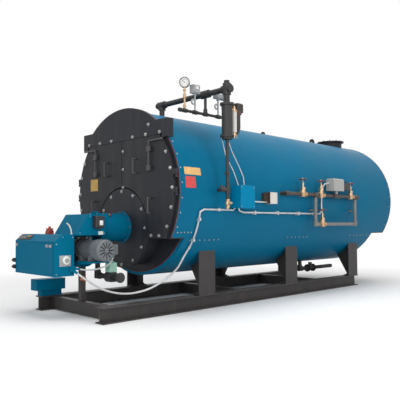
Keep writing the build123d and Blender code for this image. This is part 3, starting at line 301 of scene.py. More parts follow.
# Shared effects, each a shader node group
WEAR_RADIUS = 0.004
ROUNDED_RADIUS = WEAR_RADIUS * 0.6
GRAIN_SCALE, GRAIN_DEPTH = 160.0, 0.002
STREAK_SCALE = (7.0, 7.0, 0.9)  # dust runs further down a wall than across it
DRIFT_GAIN = 4.0
ROUGH_BY_DRIFT, ROUGH_BY_DUST = 0.3, 0.4


def new_group(name, inputs, outputs):
    """Empty shader group with named sockets, its input and its output node."""
    group = bpy.data.node_groups.new(name, "ShaderNodeTree")
    for label, kind, value in inputs:
        socket = group.interface.new_socket(label, in_out="INPUT", socket_type=kind)
        socket.default_value = value
    for label, kind in outputs:
        group.interface.new_socket(label, in_out="OUTPUT", socket_type=kind)
    return group, group.nodes.new("NodeGroupInput"), group.nodes.new("NodeGroupOutput")


def noise(group, vector, scale, detail, rough=0.55):
    """Noise texture on the given coordinates."""
    node = group.nodes.new("ShaderNodeTexNoise")
    node.inputs["Detail"].default_value = detail
    node.inputs["Roughness"].default_value = rough
    group.links.new(vector, node.inputs["Vector"])
    if isinstance(scale, (int, float)):
        node.inputs["Scale"].default_value = scale
    else:
        group.links.new(scale, node.inputs["Scale"])
    return node.outputs["Fac"]


def spread(group, value, low, high, to_low=0.0, to_high=1.0):
    """Map a value from one range to another, clamped."""
    node = group.nodes.new("ShaderNodeMapRange")
    node.inputs["From Min"].default_value = low
    node.inputs["From Max"].default_value = high
    node.inputs["To Min"].default_value = to_low
    node.inputs["To Max"].default_value = to_high
    group.links.new(value, node.inputs["Value"])
    return node.outputs[0]


def math_node(group, operation, first, second):
    """Arithmetic on two sockets or a socket and a number."""
    node = group.nodes.new("ShaderNodeMath")
    node.operation = operation
    for index, value in enumerate((first, second)):
        if isinstance(value, (int, float)):
            node.inputs[index].default_value = value
        else:
            group.links.new(value, node.inputs[index])
    return node.outputs[0]


def mix_colour(group, factor, first, second):
    """Blend two colours by a factor; the numbers are those of the node's sockets for colours."""
    node = group.nodes.new("ShaderNodeMix")
    node.data_type = "RGBA"
    for socket, value in ((node.inputs[0], factor), (node.inputs[6], first), (node.inputs[7], second)):
        if isinstance(value, (int, float, tuple)):
            socket.default_value = value
        else:
            group.links.new(value, socket)
    return node.outputs[2]


def make_edge_wear():
    """Mask of edges rubbed bare and broken up by noise."""
    group, enter, leave = new_group(
        "edge_wear", [("Radius", "NodeSocketFloat", WEAR_RADIUS), ("Scale", "NodeSocketFloat", 18.0),
                      ("Amount", "NodeSocketFloat", 0.6)], [("Mask", "NodeSocketFloat")])
    bevel = group.nodes.new("ShaderNodeBevel")
    bevel.samples = 6
    group.links.new(enter.outputs["Radius"], bevel.inputs["Radius"])
    geometry = group.nodes.new("ShaderNodeNewGeometry")
    dot = group.nodes.new("ShaderNodeVectorMath")
    dot.operation = "DOT_PRODUCT"
    group.links.new(bevel.outputs[0], dot.inputs[0])
    group.links.new(geometry.outputs["Normal"], dot.inputs[1])
    edge = spread(group, dot.outputs["Value"], low=0.995, high=0.90)
    coords = group.nodes.new("ShaderNodeTexCoord")
    speckle = noise(group, coords.outputs["Object"], enter.outputs["Scale"], detail=6.0, rough=0.65)
    chips = spread(group, speckle, low=0.42, high=0.62)
    mask = math_node(group, "MULTIPLY", math_node(group, "MULTIPLY", edge, chips), enter.outputs["Amount"])
    group.links.new(mask, leave.inputs["Mask"])
    return group


def make_weather():
    """Colour drift, streaks of dust and fine grain on a finish."""
    group, enter, leave = new_group(
        "weather", [("Color", "NodeSocketColor", (0.5, 0.5, 0.5, 1)),
                    ("Dust Color", "NodeSocketColor", (0.4, 0.38, 0.35, 1)),
                    ("Drift", "NodeSocketFloat", 0.12), ("Dust", "NodeSocketFloat", 0.15),
                    ("Scale", "NodeSocketFloat", 1.5)],
        [("Color", "NodeSocketColor"), ("Roughness Shift", "NodeSocketFloat"), ("Height", "NodeSocketFloat")])
    coords = group.nodes.new("ShaderNodeTexCoord").outputs["Object"]
    broad = noise(group, coords, enter.outputs["Scale"], detail=5.0)
    fine = noise(group, coords, GRAIN_SCALE, detail=2.0)
    swing = math_node(group, "SUBTRACT", broad, 0.5)
    drift = math_node(group, "MULTIPLY", enter.outputs["Drift"], DRIFT_GAIN)
    lighter = math_node(group, "ADD", 1.0, math_node(group, "MULTIPLY", swing, drift))
    shade = group.nodes.new("ShaderNodeVectorMath")
    shade.operation = "SCALE"
    group.links.new(enter.outputs["Color"], shade.inputs[0])
    group.links.new(lighter, shade.inputs["Scale"])
    stretch = group.nodes.new("ShaderNodeMapping")
    stretch.inputs["Scale"].default_value = STREAK_SCALE
    group.links.new(coords, stretch.inputs["Vector"])
    runs = noise(group, stretch.outputs[0], 1.0, detail=6.0, rough=0.6)
    streaks = spread(group, runs, low=0.5, high=0.72)
    geometry = group.nodes.new("ShaderNodeNewGeometry")
    split = group.nodes.new("ShaderNodeSeparateXYZ")
    group.links.new(geometry.outputs["Normal"], split.inputs[0])
    upward = spread(group, split.outputs["Z"], low=0.1, high=1.0, to_low=0.35)
    dust = math_node(group, "MULTIPLY", math_node(group, "MULTIPLY", streaks, upward), enter.outputs["Dust"])
    colour = mix_colour(group, dust, shade.outputs[0], enter.outputs["Dust Color"])
    group.links.new(colour, leave.inputs["Color"])
    shift = math_node(group, "ADD", math_node(group, "MULTIPLY", swing, ROUGH_BY_DRIFT),
                      math_node(group, "MULTIPLY", dust, ROUGH_BY_DUST))
    group.links.new(shift, leave.inputs["Roughness Shift"])
    height = math_node(group, "ADD", math_node(group, "MULTIPLY", fine, 0.5),
                       math_node(group, "MULTIPLY", broad, 0.5))
    group.links.new(height, leave.inputs["Height"])
    return group


EDGE_WEAR = make_edge_wear()
WEATHER = make_weather()


def make_finish(name, colour, rough, metal=0.0, worn=(0.3, 0.3, 0.3), wear=0.5, drift=0.1, dust=0.15,
                dust_colour=(0.42, 0.40, 0.37), scale=1.5, bump=0.15, gloss=0.4, second=None):
    """Painted, cast or plain metal finish with drift, dust, grain and worn edges.

    second is a colour, an axis and the two coordinates between which it takes over from the first colour.
    """
    material = bpy.data.materials.new(name)
    material.use_nodes = True
    tree = material.node_tree
    shader = tree.nodes["Principled BSDF"]
    shader.inputs["Metallic"].default_value = metal
    shader.inputs["Specular IOR Level"].default_value = gloss
    weather = tree.nodes.new("ShaderNodeGroup")
    weather.node_tree = WEATHER
    weather.inputs["Color"].default_value = (*colour, 1)
    weather.inputs["Dust Color"].default_value = (*dust_colour, 1)
    weather.inputs["Drift"].default_value = drift
    weather.inputs["Dust"].default_value = dust
    weather.inputs["Scale"].default_value = scale
    if second:
        tint, axis, low, high = second
        coords = tree.nodes.new("ShaderNodeTexCoord")
        split = tree.nodes.new("ShaderNodeSeparateXYZ")
        tree.links.new(coords.outputs["Object"], split.inputs[0])
        above = math_node(tree, "GREATER_THAN", split.outputs[axis], low)
        below = math_node(tree, "LESS_THAN", split.outputs[axis], high)
        zone = math_node(tree, "MULTIPLY", above, below)
        tree.links.new(mix_colour(tree, zone, (*colour, 1), (*tint, 1)), weather.inputs["Color"])
    edges = tree.nodes.new("ShaderNodeGroup")
    edges.node_tree = EDGE_WEAR
    edges.inputs["Radius"].default_value = WEAR_RADIUS
    edges.inputs["Amount"].default_value = wear
    tree.links.new(mix_colour(tree, edges.outputs["Mask"], weather.outputs["Color"], (*worn, 1)),
                   shader.inputs["Base Color"])
    tree.links.new(math_node(tree, "ADD", rough, weather.outputs["Roughness Shift"]),
                   shader.inputs["Roughness"])
    rounded = tree.nodes.new("ShaderNodeBevel")
    rounded.samples = 4
    rounded.inputs["Radius"].default_value = ROUNDED_RADIUS
    lift = tree.nodes.new("ShaderNodeBump")
    lift.inputs["Strength"].default_value = bump
    lift.inputs["Distance"].default_value = GRAIN_DEPTH
    tree.links.new(weather.outputs["Height"], lift.inputs["Height"])
    tree.links.new(rounded.outputs[0], lift.inputs["Normal"])
    tree.links.new(lift.outputs[0], shader.inputs["Normal"])
    return material


# Colours that several finishes share, and the borders between two tones on one node
BLACK = (0.024, 0.024, 0.026)
BRASS = (0.520, 0.358, 0.215)
SMOKEBOX_WORN = (0.16, 0.16, 0.17)
BEYOND = 9.0  # a coordinate past every part of the object
REGULATOR_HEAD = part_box("feed_regulator")[0][1] + 0.276
CUTOFF_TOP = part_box("auxiliary_cutoff")[1][2]
CUTOFF_BAND = (CUTOFF_TOP - 0.15, CUTOFF_TOP - 0.095)
GAUGE_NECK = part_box("pressure_gauge")[1][2] - 0.122
GLASS_LOW, GLASS_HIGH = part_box("gauge_glass")
GLASS_FITTING = 0.07
TRANSMITTER_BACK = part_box("level_transmitter")[0][1] + 0.056
BYPASS_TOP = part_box("feed_pipes")[1][2] - 0.075
# Border in front of which the doors take their lighter tone, a painted highlight on the davits and handles
DOOR_HARDWARE = FRONT_Y + DOOR_FACE - 0.014

FINISH = {}


def add_finish(name, colour, rough, **more):
    """Make a finish and list it under its name."""
    FINISH[name] = make_finish(name, colour, rough, **more)


add_finish("jacket_blue", (0.002, 0.132, 0.245), 0.36, worn=(0.02, 0.25, 0.42), wear=0.3, drift=0.06,
           dust=0.02, bump=0.04, gloss=0.05)
add_finish("smokebox_black", (0.019, 0.020, 0.025), 0.48, worn=SMOKEBOX_WORN, drift=0.12, dust=0.10,
           scale=2.5, gloss=0.22)
add_finish("skid_paint", (0.034, 0.030, 0.029), 0.50, worn=(0.20, 0.18, 0.16), wear=0.8, drift=0.2,
           dust=0.30, dust_colour=(0.20, 0.18, 0.17), scale=3.0)
add_finish("burner_blue", (0.001, 0.140, 0.250), 0.32, worn=(0.05, 0.32, 0.48), wear=0.4, drift=0.06,
           dust=0.015, gloss=0.02)
add_finish("motor_grey", (0.125, 0.138, 0.150), 0.45, worn=(0.45, 0.45, 0.45), drift=0.12)
add_finish("device_black", BLACK, 0.45, worn=(0.15, 0.15, 0.15))
add_finish("switch_red", (0.380, 0.045, 0.030), 0.4, drift=0.2, scale=20.0)
add_finish("actuator_green", (0.300, 0.560, 0.450), 0.4, worn=(0.5, 0.6, 0.55))
add_finish("pipe_black", (0.022, 0.021, 0.021), 0.5, worn=(0.18, 0.16, 0.14), drift=0.2, scale=8.0)
add_finish("brass", BRASS, 0.42, metal=0.9, worn=(0.74, 0.58, 0.36), drift=0.2, scale=14.0)
add_finish("device_grey", (0.330, 0.340, 0.350), 0.42, worn=(0.55, 0.55, 0.55))
add_finish("glass_fittings", BRASS, 0.30, metal=0.9, drift=0.2, scale=14.0,
           second=((0.62, 0.66, 0.68), "Z", GLASS_LOW[2] + GLASS_FITTING, GLASS_HIGH[2] - GLASS_FITTING))
add_finish("box_blue", (0.001, 0.205, 0.385), 0.35, drift=0.05, dust=0.03, gloss=0.05)
add_finish("conduit_steel", (0.560, 0.570, 0.580), 0.42, metal=0.5, drift=0.15, scale=12.0)
add_finish("device_white", (0.600, 0.590, 0.550), 0.45, drift=0.06)
add_finish("wheel_black", (0.120, 0.030, 0.022), 0.45, worn=(0.25, 0.20, 0.18), drift=0.2, scale=9.0)
add_finish("zinc_bolt", (0.420, 0.420, 0.410), 0.36, metal=0.85, drift=0.25, scale=30.0)
add_finish("painted_bolt", (0.045, 0.045, 0.048), 0.45, drift=0.2, scale=30.0)
add_finish("gasket_red", (0.110, 0.018, 0.030), 0.7, drift=0.25, scale=12.0)
add_finish("plate_yellow", (0.520, 0.330, 0.090), 0.5, drift=0.2, scale=20.0)
add_finish("plate_orange", (0.720, 0.430, 0.160), 0.45, drift=0.12, scale=20.0)
add_finish("plate_red", (0.600, 0.065, 0.060), 0.45, drift=0.12, scale=20.0)
add_finish("dial_white", (0.780, 0.780, 0.760), 0.5, wear=0.0, drift=0.04, dust=0.02)
add_finish("copper", (0.500, 0.180, 0.090), 0.35, metal=0.9, drift=0.2, scale=20.0)
add_finish("soot", (0.014, 0.013, 0.012), 0.9, worn=(0.06, 0.055, 0.05), drift=0.3, scale=16.0)
add_finish("cord_grey", (0.560, 0.570, 0.575), 0.5, wear=0.0, drift=0.12, scale=25.0)
add_finish("lamp_amber", (0.650, 0.260, 0.030), 0.25, wear=0.0, drift=0.08, scale=40.0, gloss=0.8)
add_finish("lamp_green", (0.040, 0.420, 0.120), 0.25, wear=0.0, drift=0.08, scale=40.0, gloss=0.8)

# Finishes of single nodes, most of them in two tones
NODE_FINISH = {
    "feed_regulator": make_finish("regulator_two_tone", (0.385, 0.385, 0.365), 0.45, drift=0.08,
                                  second=(BLACK, "Y", REGULATOR_HEAD, BEYOND)),
    "auxiliary_cutoff": make_finish("cutoff_two_tone", (0.030, 0.024, 0.022), 0.48, worn=(0.2, 0.17, 0.15),
                                    drift=0.2, scale=9.0,
                                    second=((0.085, 0.036, 0.028), "Z", *CUTOFF_BAND)),
    "pressure_gauge": make_finish("gauge_two_tone", (0.120, 0.115, 0.115), 0.38, metal=0.3, drift=0.12,
                                  scale=16.0, second=(BRASS, "Z", -BEYOND, GAUGE_NECK)),
    "level_transmitter": make_finish("transmitter_two_tone", (0.640, 0.610, 0.560), 0.45, drift=0.08,
                                     second=((0.055, 0.034, 0.026), "Y", -BEYOND, TRANSMITTER_BACK)),
    "feed_pipes": make_finish("feed_pipes_paint", (0.045, 0.032, 0.028), 0.40, worn=(0.24, 0.21, 0.19),
                              drift=0.2, scale=8.0,
                              second=((0.170, 0.165, 0.160), "Z", -BEYOND, BYPASS_TOP)),
}
# On the doors the lighter second tone, on the hardware standing out in front of the door face, is a painted
# highlight on the davits and handles
for door in ("front_door_left", "front_door_right"):
    NODE_FINISH[door] = make_finish(f"{door}_paint", (0.020, 0.021, 0.025), 0.48, worn=SMOKEBOX_WORN,
                                    drift=0.12, dust=0.10, scale=2.5, gloss=0.22,
                                    second=((0.080, 0.080, 0.085), "Y", -BEYOND, DOOR_HARDWARE))


def dress_nodes():
    """Give every CAD node the finish of its slot or one of its own."""
    for row in frame["record"]["subparts"]:
        node = bpy.data.objects[row["node"]]
        node.data.materials.clear()
        node.data.materials.append(NODE_FINISH.get(row["node"], FINISH[row["material_slot"]]))


# Floor, lamps and white surroundings
FLOOR_SIZE = 120.0
FADE_START, FADE_END = 2.6, 6.0  # distances at which the floor begins to fade and is all white
OBJECT_LIGHT = 0.34  # strength of the surroundings as light on the object


def shows_white(tree):
    """One for rays that the eye, a reflection or clear glass sends out, nought for light on the object."""
    path = tree.nodes.new("ShaderNodeLightPath")
    mirrored = math_node(tree, "MAXIMUM", path.outputs["Is Glossy Ray"], path.outputs["Is Transmission Ray"])
    return math_node(tree, "MAXIMUM", path.outputs["Is Camera Ray"], mirrored)


def lay_floor():
    """Pale matt floor round the object that fades into the white surroundings."""
    fresh()
    bpy.ops.mesh.primitive_plane_add(size=FLOOR_SIZE, location=(0, 0, 0))
    floor = bpy.context.object
    floor.name = "studio_floor"
    material = bpy.data.materials.new("studio_floor")
    material.use_nodes = True
    tree = material.node_tree
    shader = tree.nodes["Principled BSDF"]
    shader.inputs["Base Color"].default_value = (0.97, 0.97, 0.97, 1)
    shader.inputs["Roughness"].default_value = 0.9
    shader.inputs["Specular IOR Level"].default_value = 0.05
    glow = tree.nodes.new("ShaderNodeEmission")
    coords = tree.nodes.new("ShaderNodeTexCoord")
    distance = tree.nodes.new("ShaderNodeVectorMath")
    distance.operation = "LENGTH"
    tree.links.new(coords.outputs["Object"], distance.inputs[0])
    fade = spread(tree, distance.outputs["Value"], FADE_START, FADE_END)
    mix = tree.nodes.new("ShaderNodeMixShader")
    tree.links.new(math_node(tree, "MULTIPLY", fade, shows_white(tree)), mix.inputs[0])
    tree.links.new(shader.outputs[0], mix.inputs[1])
    tree.links.new(glow.outputs[0], mix.inputs[2])
    tree.links.new(mix.outputs[0], tree.nodes["Material Output"].inputs["Surface"])
    floor.data.materials.append(material)


def hang_lamp(name, place, aim, size, power):
    """Large soft lamp pointed at a spot."""
    data = bpy.data.lights.new(name, "AREA")
    data.shape = "DISK"
    data.size = size
    data.energy = power
    lamp = bpy.data.objects.new(name, data)
    bpy.context.collection.objects.link(lamp)
    lamp.location = place
    lamp.rotation_euler = (Vector(aim) - Vector(place)).to_track_quat("-Z", "Y").to_euler()


def light_scene():
    """Soft overhead light, two fills from the camera's side and white surroundings."""
    hang_lamp("overhead", place=(1.0, -0.5, 9.0), aim=(0, 0, 1.0), size=8.0, power=560)
    hang_lamp("front_fill", place=(5.5, -8.5, 3.6), aim=(0, -1.0, 1.2), size=5.0, power=270)
    hang_lamp("side_fill", place=(9.0, -0.5, 3.6), aim=(0, 0.0, 1.2), size=5.0, power=180)
    world = bpy.data.worlds.new("white_surroundings")
    bpy.context.scene.world = world
    world.use_nodes = True
    tree = world.node_tree
    back = tree.nodes["Background"]
    back.inputs["Color"].default_value = (1, 1, 1, 1)
    strength = spread(tree, shows_white(tree), low=0.0, high=1.0, to_low=OBJECT_LIGHT)
    tree.links.new(strength, back.inputs["Strength"])


# Smokebox front: nuts, gaskets, edge covers and a blank tag
DOOR_NUT_CIRCLE = 0.926
DOOR_NUT_TURNS = [math.radians(angle) for angle in (-25.6, -11.8, 1.6, 15.1, 27.5)]
DOOR_NUT_SPIN, HEAD_NUT_SPIN = 9, 5  # radians a metre, so that neighbouring nuts stand at different angles


def fit_front():
    """Nuts on the doors, head, burner plate and barrel, trim on the jacket's edges, and a blank tag."""
    for side, sign in (("left", -1), ("right", 1)):
        rim = [at(sign * DOOR_NUT_CIRCLE * math.cos(turn), DOOR_FACE,
                  AXIS_Z + DOOR_NUT_CIRCLE * math.sin(turn)) for turn in DOOR_NUT_TURNS]
        sill = [at(sign * x, DOOR_FACE, DOOR_SILL + 0.028) for x in (0.56, 0.70)]
        spots = [facing(spot, FORWARD, spot.z * DOOR_NUT_SPIN) for spot in rim + sill]
        copies(model_bolt(radius=0.015), spots, f"{side}_door_nuts", f"front_door_{side}", "zinc_bolt")
    middle = [facing(at(0.026, DOOR_FACE, height), FORWARD) for height in (1.466, 1.684, 1.902)]
    copies(model_bolt(radius=0.012), middle, "door_joint_nuts", "front_door_right", "zinc_bolt")
    lintel = [facing(at(sign * x, DOOR_FACE, LINTEL + 0.024), FORWARD, x * HEAD_NUT_SPIN)
              for sign in (-1, 1) for x in (0.215, 0.465, 0.715)]
    crown = [facing(at(0.517, DOOR_FACE, 2.163), FORWARD)]
    copies(model_bolt(radius=0.014), lintel + crown, "head_nuts", "boiler", "zinc_bolt")
    plate_nuts = ring(at(0, DOOR_FACE, BURNER_Z), FORWARD, radius=0.441, count=12)
    copies(model_bolt(radius=0.014), plate_nuts, "burner_plate_nuts", "boiler", "zinc_bolt")
    barrel_nuts = ring(at(0, DOOR_FACE - 0.015, BARREL_Z), FORWARD, radius=0.177, count=12)
    copies(model_bolt(radius=0.008), barrel_nuts, "barrel_nuts", "boiler", "painted_bolt")
    fit_edges()
    tag = box(at(-0.681, DOOR_FACE - 0.003, 1.449), at(-0.516, DOOR_FACE, 1.601), rounding=0.001)
    step_face(tag, FORWARD, border=0.008, shift=-0.001, least_area=0.01)
    keep(tag, "blank_door_tag", "front_door_left", "plate_yellow")


def fit_edges():
    """Gaskets behind the flanges, and the seal and dark inner rims on the jacket's cut-back lower edges."""
    above_sill = (at(0, 0, DOOR_SILL), UP)
    below_sill = (at(0, 0, DOOR_SILL), -UP)
    front_edge, rear_edge = 0.1968, LENGTH - 0.3728  # just clear of the cut-back edges
    rim = RADIUS - 0.062
    for name, finish, radius, depth, low_y, high_y, side in (
            ("front_gasket", "gasket_red", RADIUS - 0.004, 0.006, -0.0075, 0.001, above_sill),
            ("rear_gasket", "soot", RADIUS - 0.002, 0.004, LENGTH - 0.001, LENGTH + 0.010, above_sill),
            ("lower_edge_seal", "gasket_red", RADIUS - 0.047, 0.007, 0.187, front_edge, below_sill),
            ("front_edge_cover", "smokebox_black", rim, 0.015, 0.1935, front_edge, below_sill),
            ("rear_edge_cover", "smokebox_black", rim, 0.015, rear_edge, LENGTH - 0.3695, below_sill)):
        keep(jacket_strip(radius, low_y, high_y, [side], depth), name, "boiler", finish)


# Jacket: rows of small screws and the blank plates
SCREW_ROWS = ((0.060, 0.268, 0.925, 5), (0.300, 0.770, 0.830, 7), (2.150, 2.610, 0.830, 6),
              (3.800, 4.430, 0.830, 7))  # start, end, height and count
EDGE_SCREWS = 25
EDGE_START, EDGE_SWEEP = -24, 228
EDGE_INSET = 0.030


def fit_jacket():
    """Screw rows over the saddles and along both ends, and two blank plates on the right-hand side."""
    screws = []
    for sign in (-1, 1):
        for start, end, height, count in SCREW_ROWS:
            across = math.sqrt(RADIUS**2 - (height - AXIS_Z)**2)
            for index in range(count):
                spot = at(sign * across, start + (end - start) * index / (count - 1), height)
                screws.append(facing(spot, (spot.x - AXIS_X, 0, spot.z - AXIS_Z)))
    for edge_y in (EDGE_INSET, LENGTH - EDGE_INSET):
        for index in range(EDGE_SCREWS):
            angle = math.radians(EDGE_START + EDGE_SWEEP * index / (EDGE_SCREWS - 1))
            outward = Vector((math.cos(angle), 0, math.sin(angle)))
            screws.append(facing(at(0, edge_y, AXIS_Z) + outward * RADIUS, outward))
    copies(model_screw(radius=0.009), screws, "jacket_screws", "boiler", "zinc_bolt")
    for name, finish, low_y, high_y, low_z, high_z in (
            ("blank_orange_plate", "plate_orange", 0.080, 0.331, 1.566, 1.652),
            ("blank_red_plate", "plate_red", 0.082, 0.237, 1.419, 1.547)):
        sides = [(at(0, 0, low_z), UP), (at(0, 0, high_z), -UP), (at(0, 0, AXIS_Z), RIGHT)]
        keep(jacket_strip(RADIUS + 0.0005, low_y, high_y, sides, depth=0.0015), name, "boiler", finish)


# Trim: dial, flange nuts, cock levers, windows and lid screws
GAUGE_CENTRE = (0.800, 0.255, 2.650)
GAUGE_TURN = math.radians(40)
DIAL_OFFSET = 0.0112  # forward from the gauge's middle
SCALE_START, TICK_STEP, NUMBER_STEP = 225, 9, 45  # degrees
TICKS, TICKS_TO_NUMBER = 31, 5
NUMBERS, NUMBER_VALUE = 7, 50
NUMBER_CIRCLE = 0.0305
TICK_END, TICK_HALF = 0.0470, 0.0005


def model_tick(start):
    """Tick from a radius on the dial out to the scale's edge."""
    return box((start, -TICK_HALF, 0.001), (TICK_END, TICK_HALF, 0.0016), rounding=0.0001)


def dial_number(dial, index):
    """Plain number that lies on the dial."""
    angle = math.radians(SCALE_START - NUMBER_STEP * index)
    fresh()
    bpy.ops.object.text_add()
    number = bpy.context.object
    number.data.body = str(NUMBER_VALUE * index)
    number.data.size = 0.011
    number.data.align_x = "CENTER"
    number.data.align_y = "CENTER"
    number.data.extrude = 0.0002
    bpy.ops.object.convert(target="MESH")
    place = Vector((NUMBER_CIRCLE * math.cos(angle), NUMBER_CIRCLE * math.sin(angle), 0.0012))
    number.matrix_world = dial @ Matrix.Translation(place)
    return settle(number)


def fit_gauge():
    """White dial with ticks, plain numbers and a pointer, set inside the bezel."""
    out = Vector((math.sin(GAUGE_TURN), -math.cos(GAUGE_TURN), 0))
    dial = Matrix((UP.cross(out), UP, out)).transposed().to_4x4()
    dial.translation = at(*GAUGE_CENTRE) + out * DIAL_OFFSET
    plate = drum((0, 0, 0), (0, 0, 0.001), radius=0.0545, sides=48, rounding=0.0003)
    plate.matrix_world = dial
    keep(plate, "gauge_dial", "boiler", "dial_white")
    turns = [dial @ Matrix.Rotation(math.radians(SCALE_START - TICK_STEP * index), 4, "Z")
             for index in range(TICKS)]
    between = [turn for index, turn in enumerate(turns) if index % TICKS_TO_NUMBER]
    marks = repeat(model_tick(start=0.0380), turns[::TICKS_TO_NUMBER])
    marks += repeat(model_tick(start=0.0420), between)
    marks += [dial_number(dial, index) for index in range(NUMBERS)]
    tip = 0.036
    pointer = box((-0.012, -0.0014, 0.002), (tip, 0.0014, 0.003), rounding=0.0002)
    pick(pointer, lambda face: looks(face, RIGHT))
    bpy.ops.transform.resize(value=(1, 0.25, 1), center_override=(tip, 0, 0.0025))
    close()
    pointer.matrix_world = dial @ Matrix.Rotation(math.radians(135), 4, "Z")
    marks.append(settle(pointer))
    boss = drum((0, 0, 0.001), (0, 0, 0.004), radius=0.005, sides=20, rounding=0.0005)
    boss.matrix_world = dial
    marks.append(settle(boss))
    keep(join(marks), "gauge_marks", "boiler", "device_black")


def fit_trim():
    """Column nuts, levers on the glass cocks, control windows, lid screws and the regulator's handle."""
    column_x, column_y = COLUMN
    nuts = []
    for height in (2.033, 2.400):
        nuts += ring(at(column_x, column_y, height), UP, radius=0.072, count=8, start=22.5)
    copies(model_bolt(radius=0.0065), nuts, "column_nuts", "boiler", "painted_bolt")
    stem = drum((0, 0.140, 0), (0, 0.168, 0), radius=0.007, sides=16)
    arm = box((-0.004, 0.160, -0.050), (0.004, 0.168, 0.008))
    cocks = [Matrix.Translation(at(column_x, column_y, height)) for height in (2.055, 2.340)]
    copies(join([stem, arm]), cocks, "glass_cock_levers", "boiler", "brass")
    window = box((0, -0.020, 0.047), (0.003, 0.020, 0.083), rounding=0.001)
    step_face(window, RIGHT, border=0.004, shift=-0.0015, least_area=0.0008)
    fronts = [at(0.839, control_y, 2.545) for control_y in (0.420, 0.810, 0.935)]
    copies(window, [Matrix.Translation(front) for front in fronts], "control_windows", "boiler", "dial_white")
    lids = [front + Vector((0, across, up))
            for front in fronts for across in (-0.038, 0.038) for up in (0.018, 0.082)]
    junction_x, junction_y, junction_z = 1.150, 0.949, 1.206
    lids += [at(junction_x, junction_y + across, junction_z + up)
             for across in (-0.112, 0.112) for up in (0.020, 0.244)]
    transmitter_x = 1.095
    lids += [at(transmitter_x, y, z) for y in (1.455, 1.570) for z in (1.285, 1.400)]
    screws = [facing(spot, RIGHT) for spot in lids]
    copies(model_screw(radius=0.005), screws, "box_screws", "boiler", "zinc_bolt")
    handle_x, handle_z = 1.085, 1.640
    stalk = drum(at(handle_x, 3.270, 1.607), at(handle_x, 3.270, handle_z), radius=0.007, sides=16)
    grip = drum(at(handle_x, 3.245, handle_z), at(handle_x, 3.295, handle_z), radius=0.010, sides=20,
                rounding=0.004)
    keep(join([stalk, grip]), "regulator_handle", "boiler", "device_black")


# Burner: cabinet, switches, timer, motor and small fittings
CABINET_FRONT, CABINET_SIDE, HOOD_SIDE = -1.063, 0.190, 0.240
SWITCH_PANEL = (-0.545, -1.0155, 0.876)
SWITCH_TILT = (0, -0.646, 0.763)
MOTOR_Y, MOTOR_Z = -0.620, 0.740


def fit_cabinet():
    """Door panel, latches and clips on the front of the cabinet."""
    panel = box(at(-0.700, CABINET_FRONT, 0.490), at(0.165, -1.058, 0.822), rounding=0.0015)
    step_face(panel, FORWARD, border=0.012, shift=-0.0012, least_area=0.1)
    keep(panel, "cabinet_door_panel", "boiler", "burner_blue")
    latch = join([box((-0.021, 0, -0.024), (0.023, 0.026, 0.024), rounding=0.004),
                  drum((0, 0, 0), (0, -0.016, 0), radius=0.013, sides=20)])
    latches = [Matrix.Translation(at(-0.735, -1.078, z)) for z in (0.533, 0.609)]
    copies(latch, latches, "cabinet_latches", "boiler", "device_black")
    clip = join([box((-0.026, -0.007, -0.015), (0.026, 0, 0.015), rounding=0.002),
                 drum((0, -0.007, 0), (0, -0.013, 0), radius=0.008, sides=20)])
    clips = [Matrix.Translation(at(x, CABINET_FRONT, 0.791)) for x in (-0.672, 0.040, 0.115)]
    copies(clip, clips, "cabinet_clips", "boiler", "device_grey")


def fit_switches():
    """Sloped panel with toggle switches and three lamps."""
    tilt = Vector(SWITCH_TILT)
    slope = Matrix((RIGHT, tilt.cross(RIGHT), tilt)).transposed().to_4x4()
    slope.translation = at(*SWITCH_PANEL)
    board = box((-0.150, -0.040, 0), (0.150, 0.040, 0.005), rounding=0.0015)
    board.matrix_world = slope
    keep(board, "switch_panel", "boiler", "device_black")
    collar = drum((0, -0.014, 0.005), (0, -0.014, 0.009), radius=0.010, sides=20, rounding=0.001)
    toggle = drum((0, -0.014, 0.009), (0, -0.006, 0.028), radius=0.0035, sides=12, rounding=0.001)
    switches = [slope @ Matrix.Translation((x, 0, 0)) for x in (-0.110, -0.050, 0.010)]
    copies(join([collar, toggle]), switches, "panel_switches", "boiler", "device_grey")
    lens = drum((0, 0.008, 0.005), (0, 0.008, 0.017), radius=0.010, sides=24, rounding=0.004)
    lenses = repeat(lens, [slope @ Matrix.Translation((x, 0, 0)) for x in (0.060, 0.095, 0.130)])
    for lens, name, finish in zip(lenses, ("run_lamp", "call_lamp", "fault_lamp"),
                                  ("lamp_green", "lamp_amber", "plate_red")):
        keep(lens, name, "boiler", finish)


def fit_timer():
    """Plate with a round dial, its rim and a knob on the cabinet's right-hand side."""
    y, z = -0.918, 0.636
    plate_face, dial_face = 0.195, 0.203
    plate = box(at(CABINET_SIDE, -1.000, 0.572), at(plate_face, -0.862, 0.690), rounding=0.0015)
    dial = drum(at(plate_face, y, z), at(dial_face, y, z), radius=0.046, sides=40, rounding=0.003)
    knob = drum(at(dial_face, y, z), at(0.228, y, z), radius=0.022, sides=32, rounding=0.004)
    step_end(knob, RIGHT, border=0.006, shift=-0.004)
    rim = drum(at(plate_face, y, z), at(0.200, y, z), radius=0.051, sides=40, rounding=0.002)
    keep(join([plate, knob]), "purge_timer", "boiler", "device_grey")
    keep(rim, "timer_rim", "boiler", "zinc_bolt")
    keep(dial, "timer_dial", "boiler", "dial_white")


def fit_seams():
    """Screws along the seams of the hood and the cabinet."""
    seams = [facing(at(x, y, 1.135), UP) for x in (-0.216, 0.216) for y in (-0.640, -0.550, -0.465)]
    hood = ((-0.780, 0.925), (-0.470, 0.920), (-0.470, 1.110), (-0.650, 1.110))
    cabinet = ((-1.035, 0.490), (-0.840, 0.880), (-1.035, 0.810), (-0.960, 0.885))
    for side, spots in ((HOOD_SIDE, hood), (CABINET_SIDE, cabinet)):
        seams += [facing(at(side, y, z), RIGHT) for y, z in spots]
    copies(model_screw(radius=0.006), seams, "burner_screws", "boiler", "zinc_bolt")


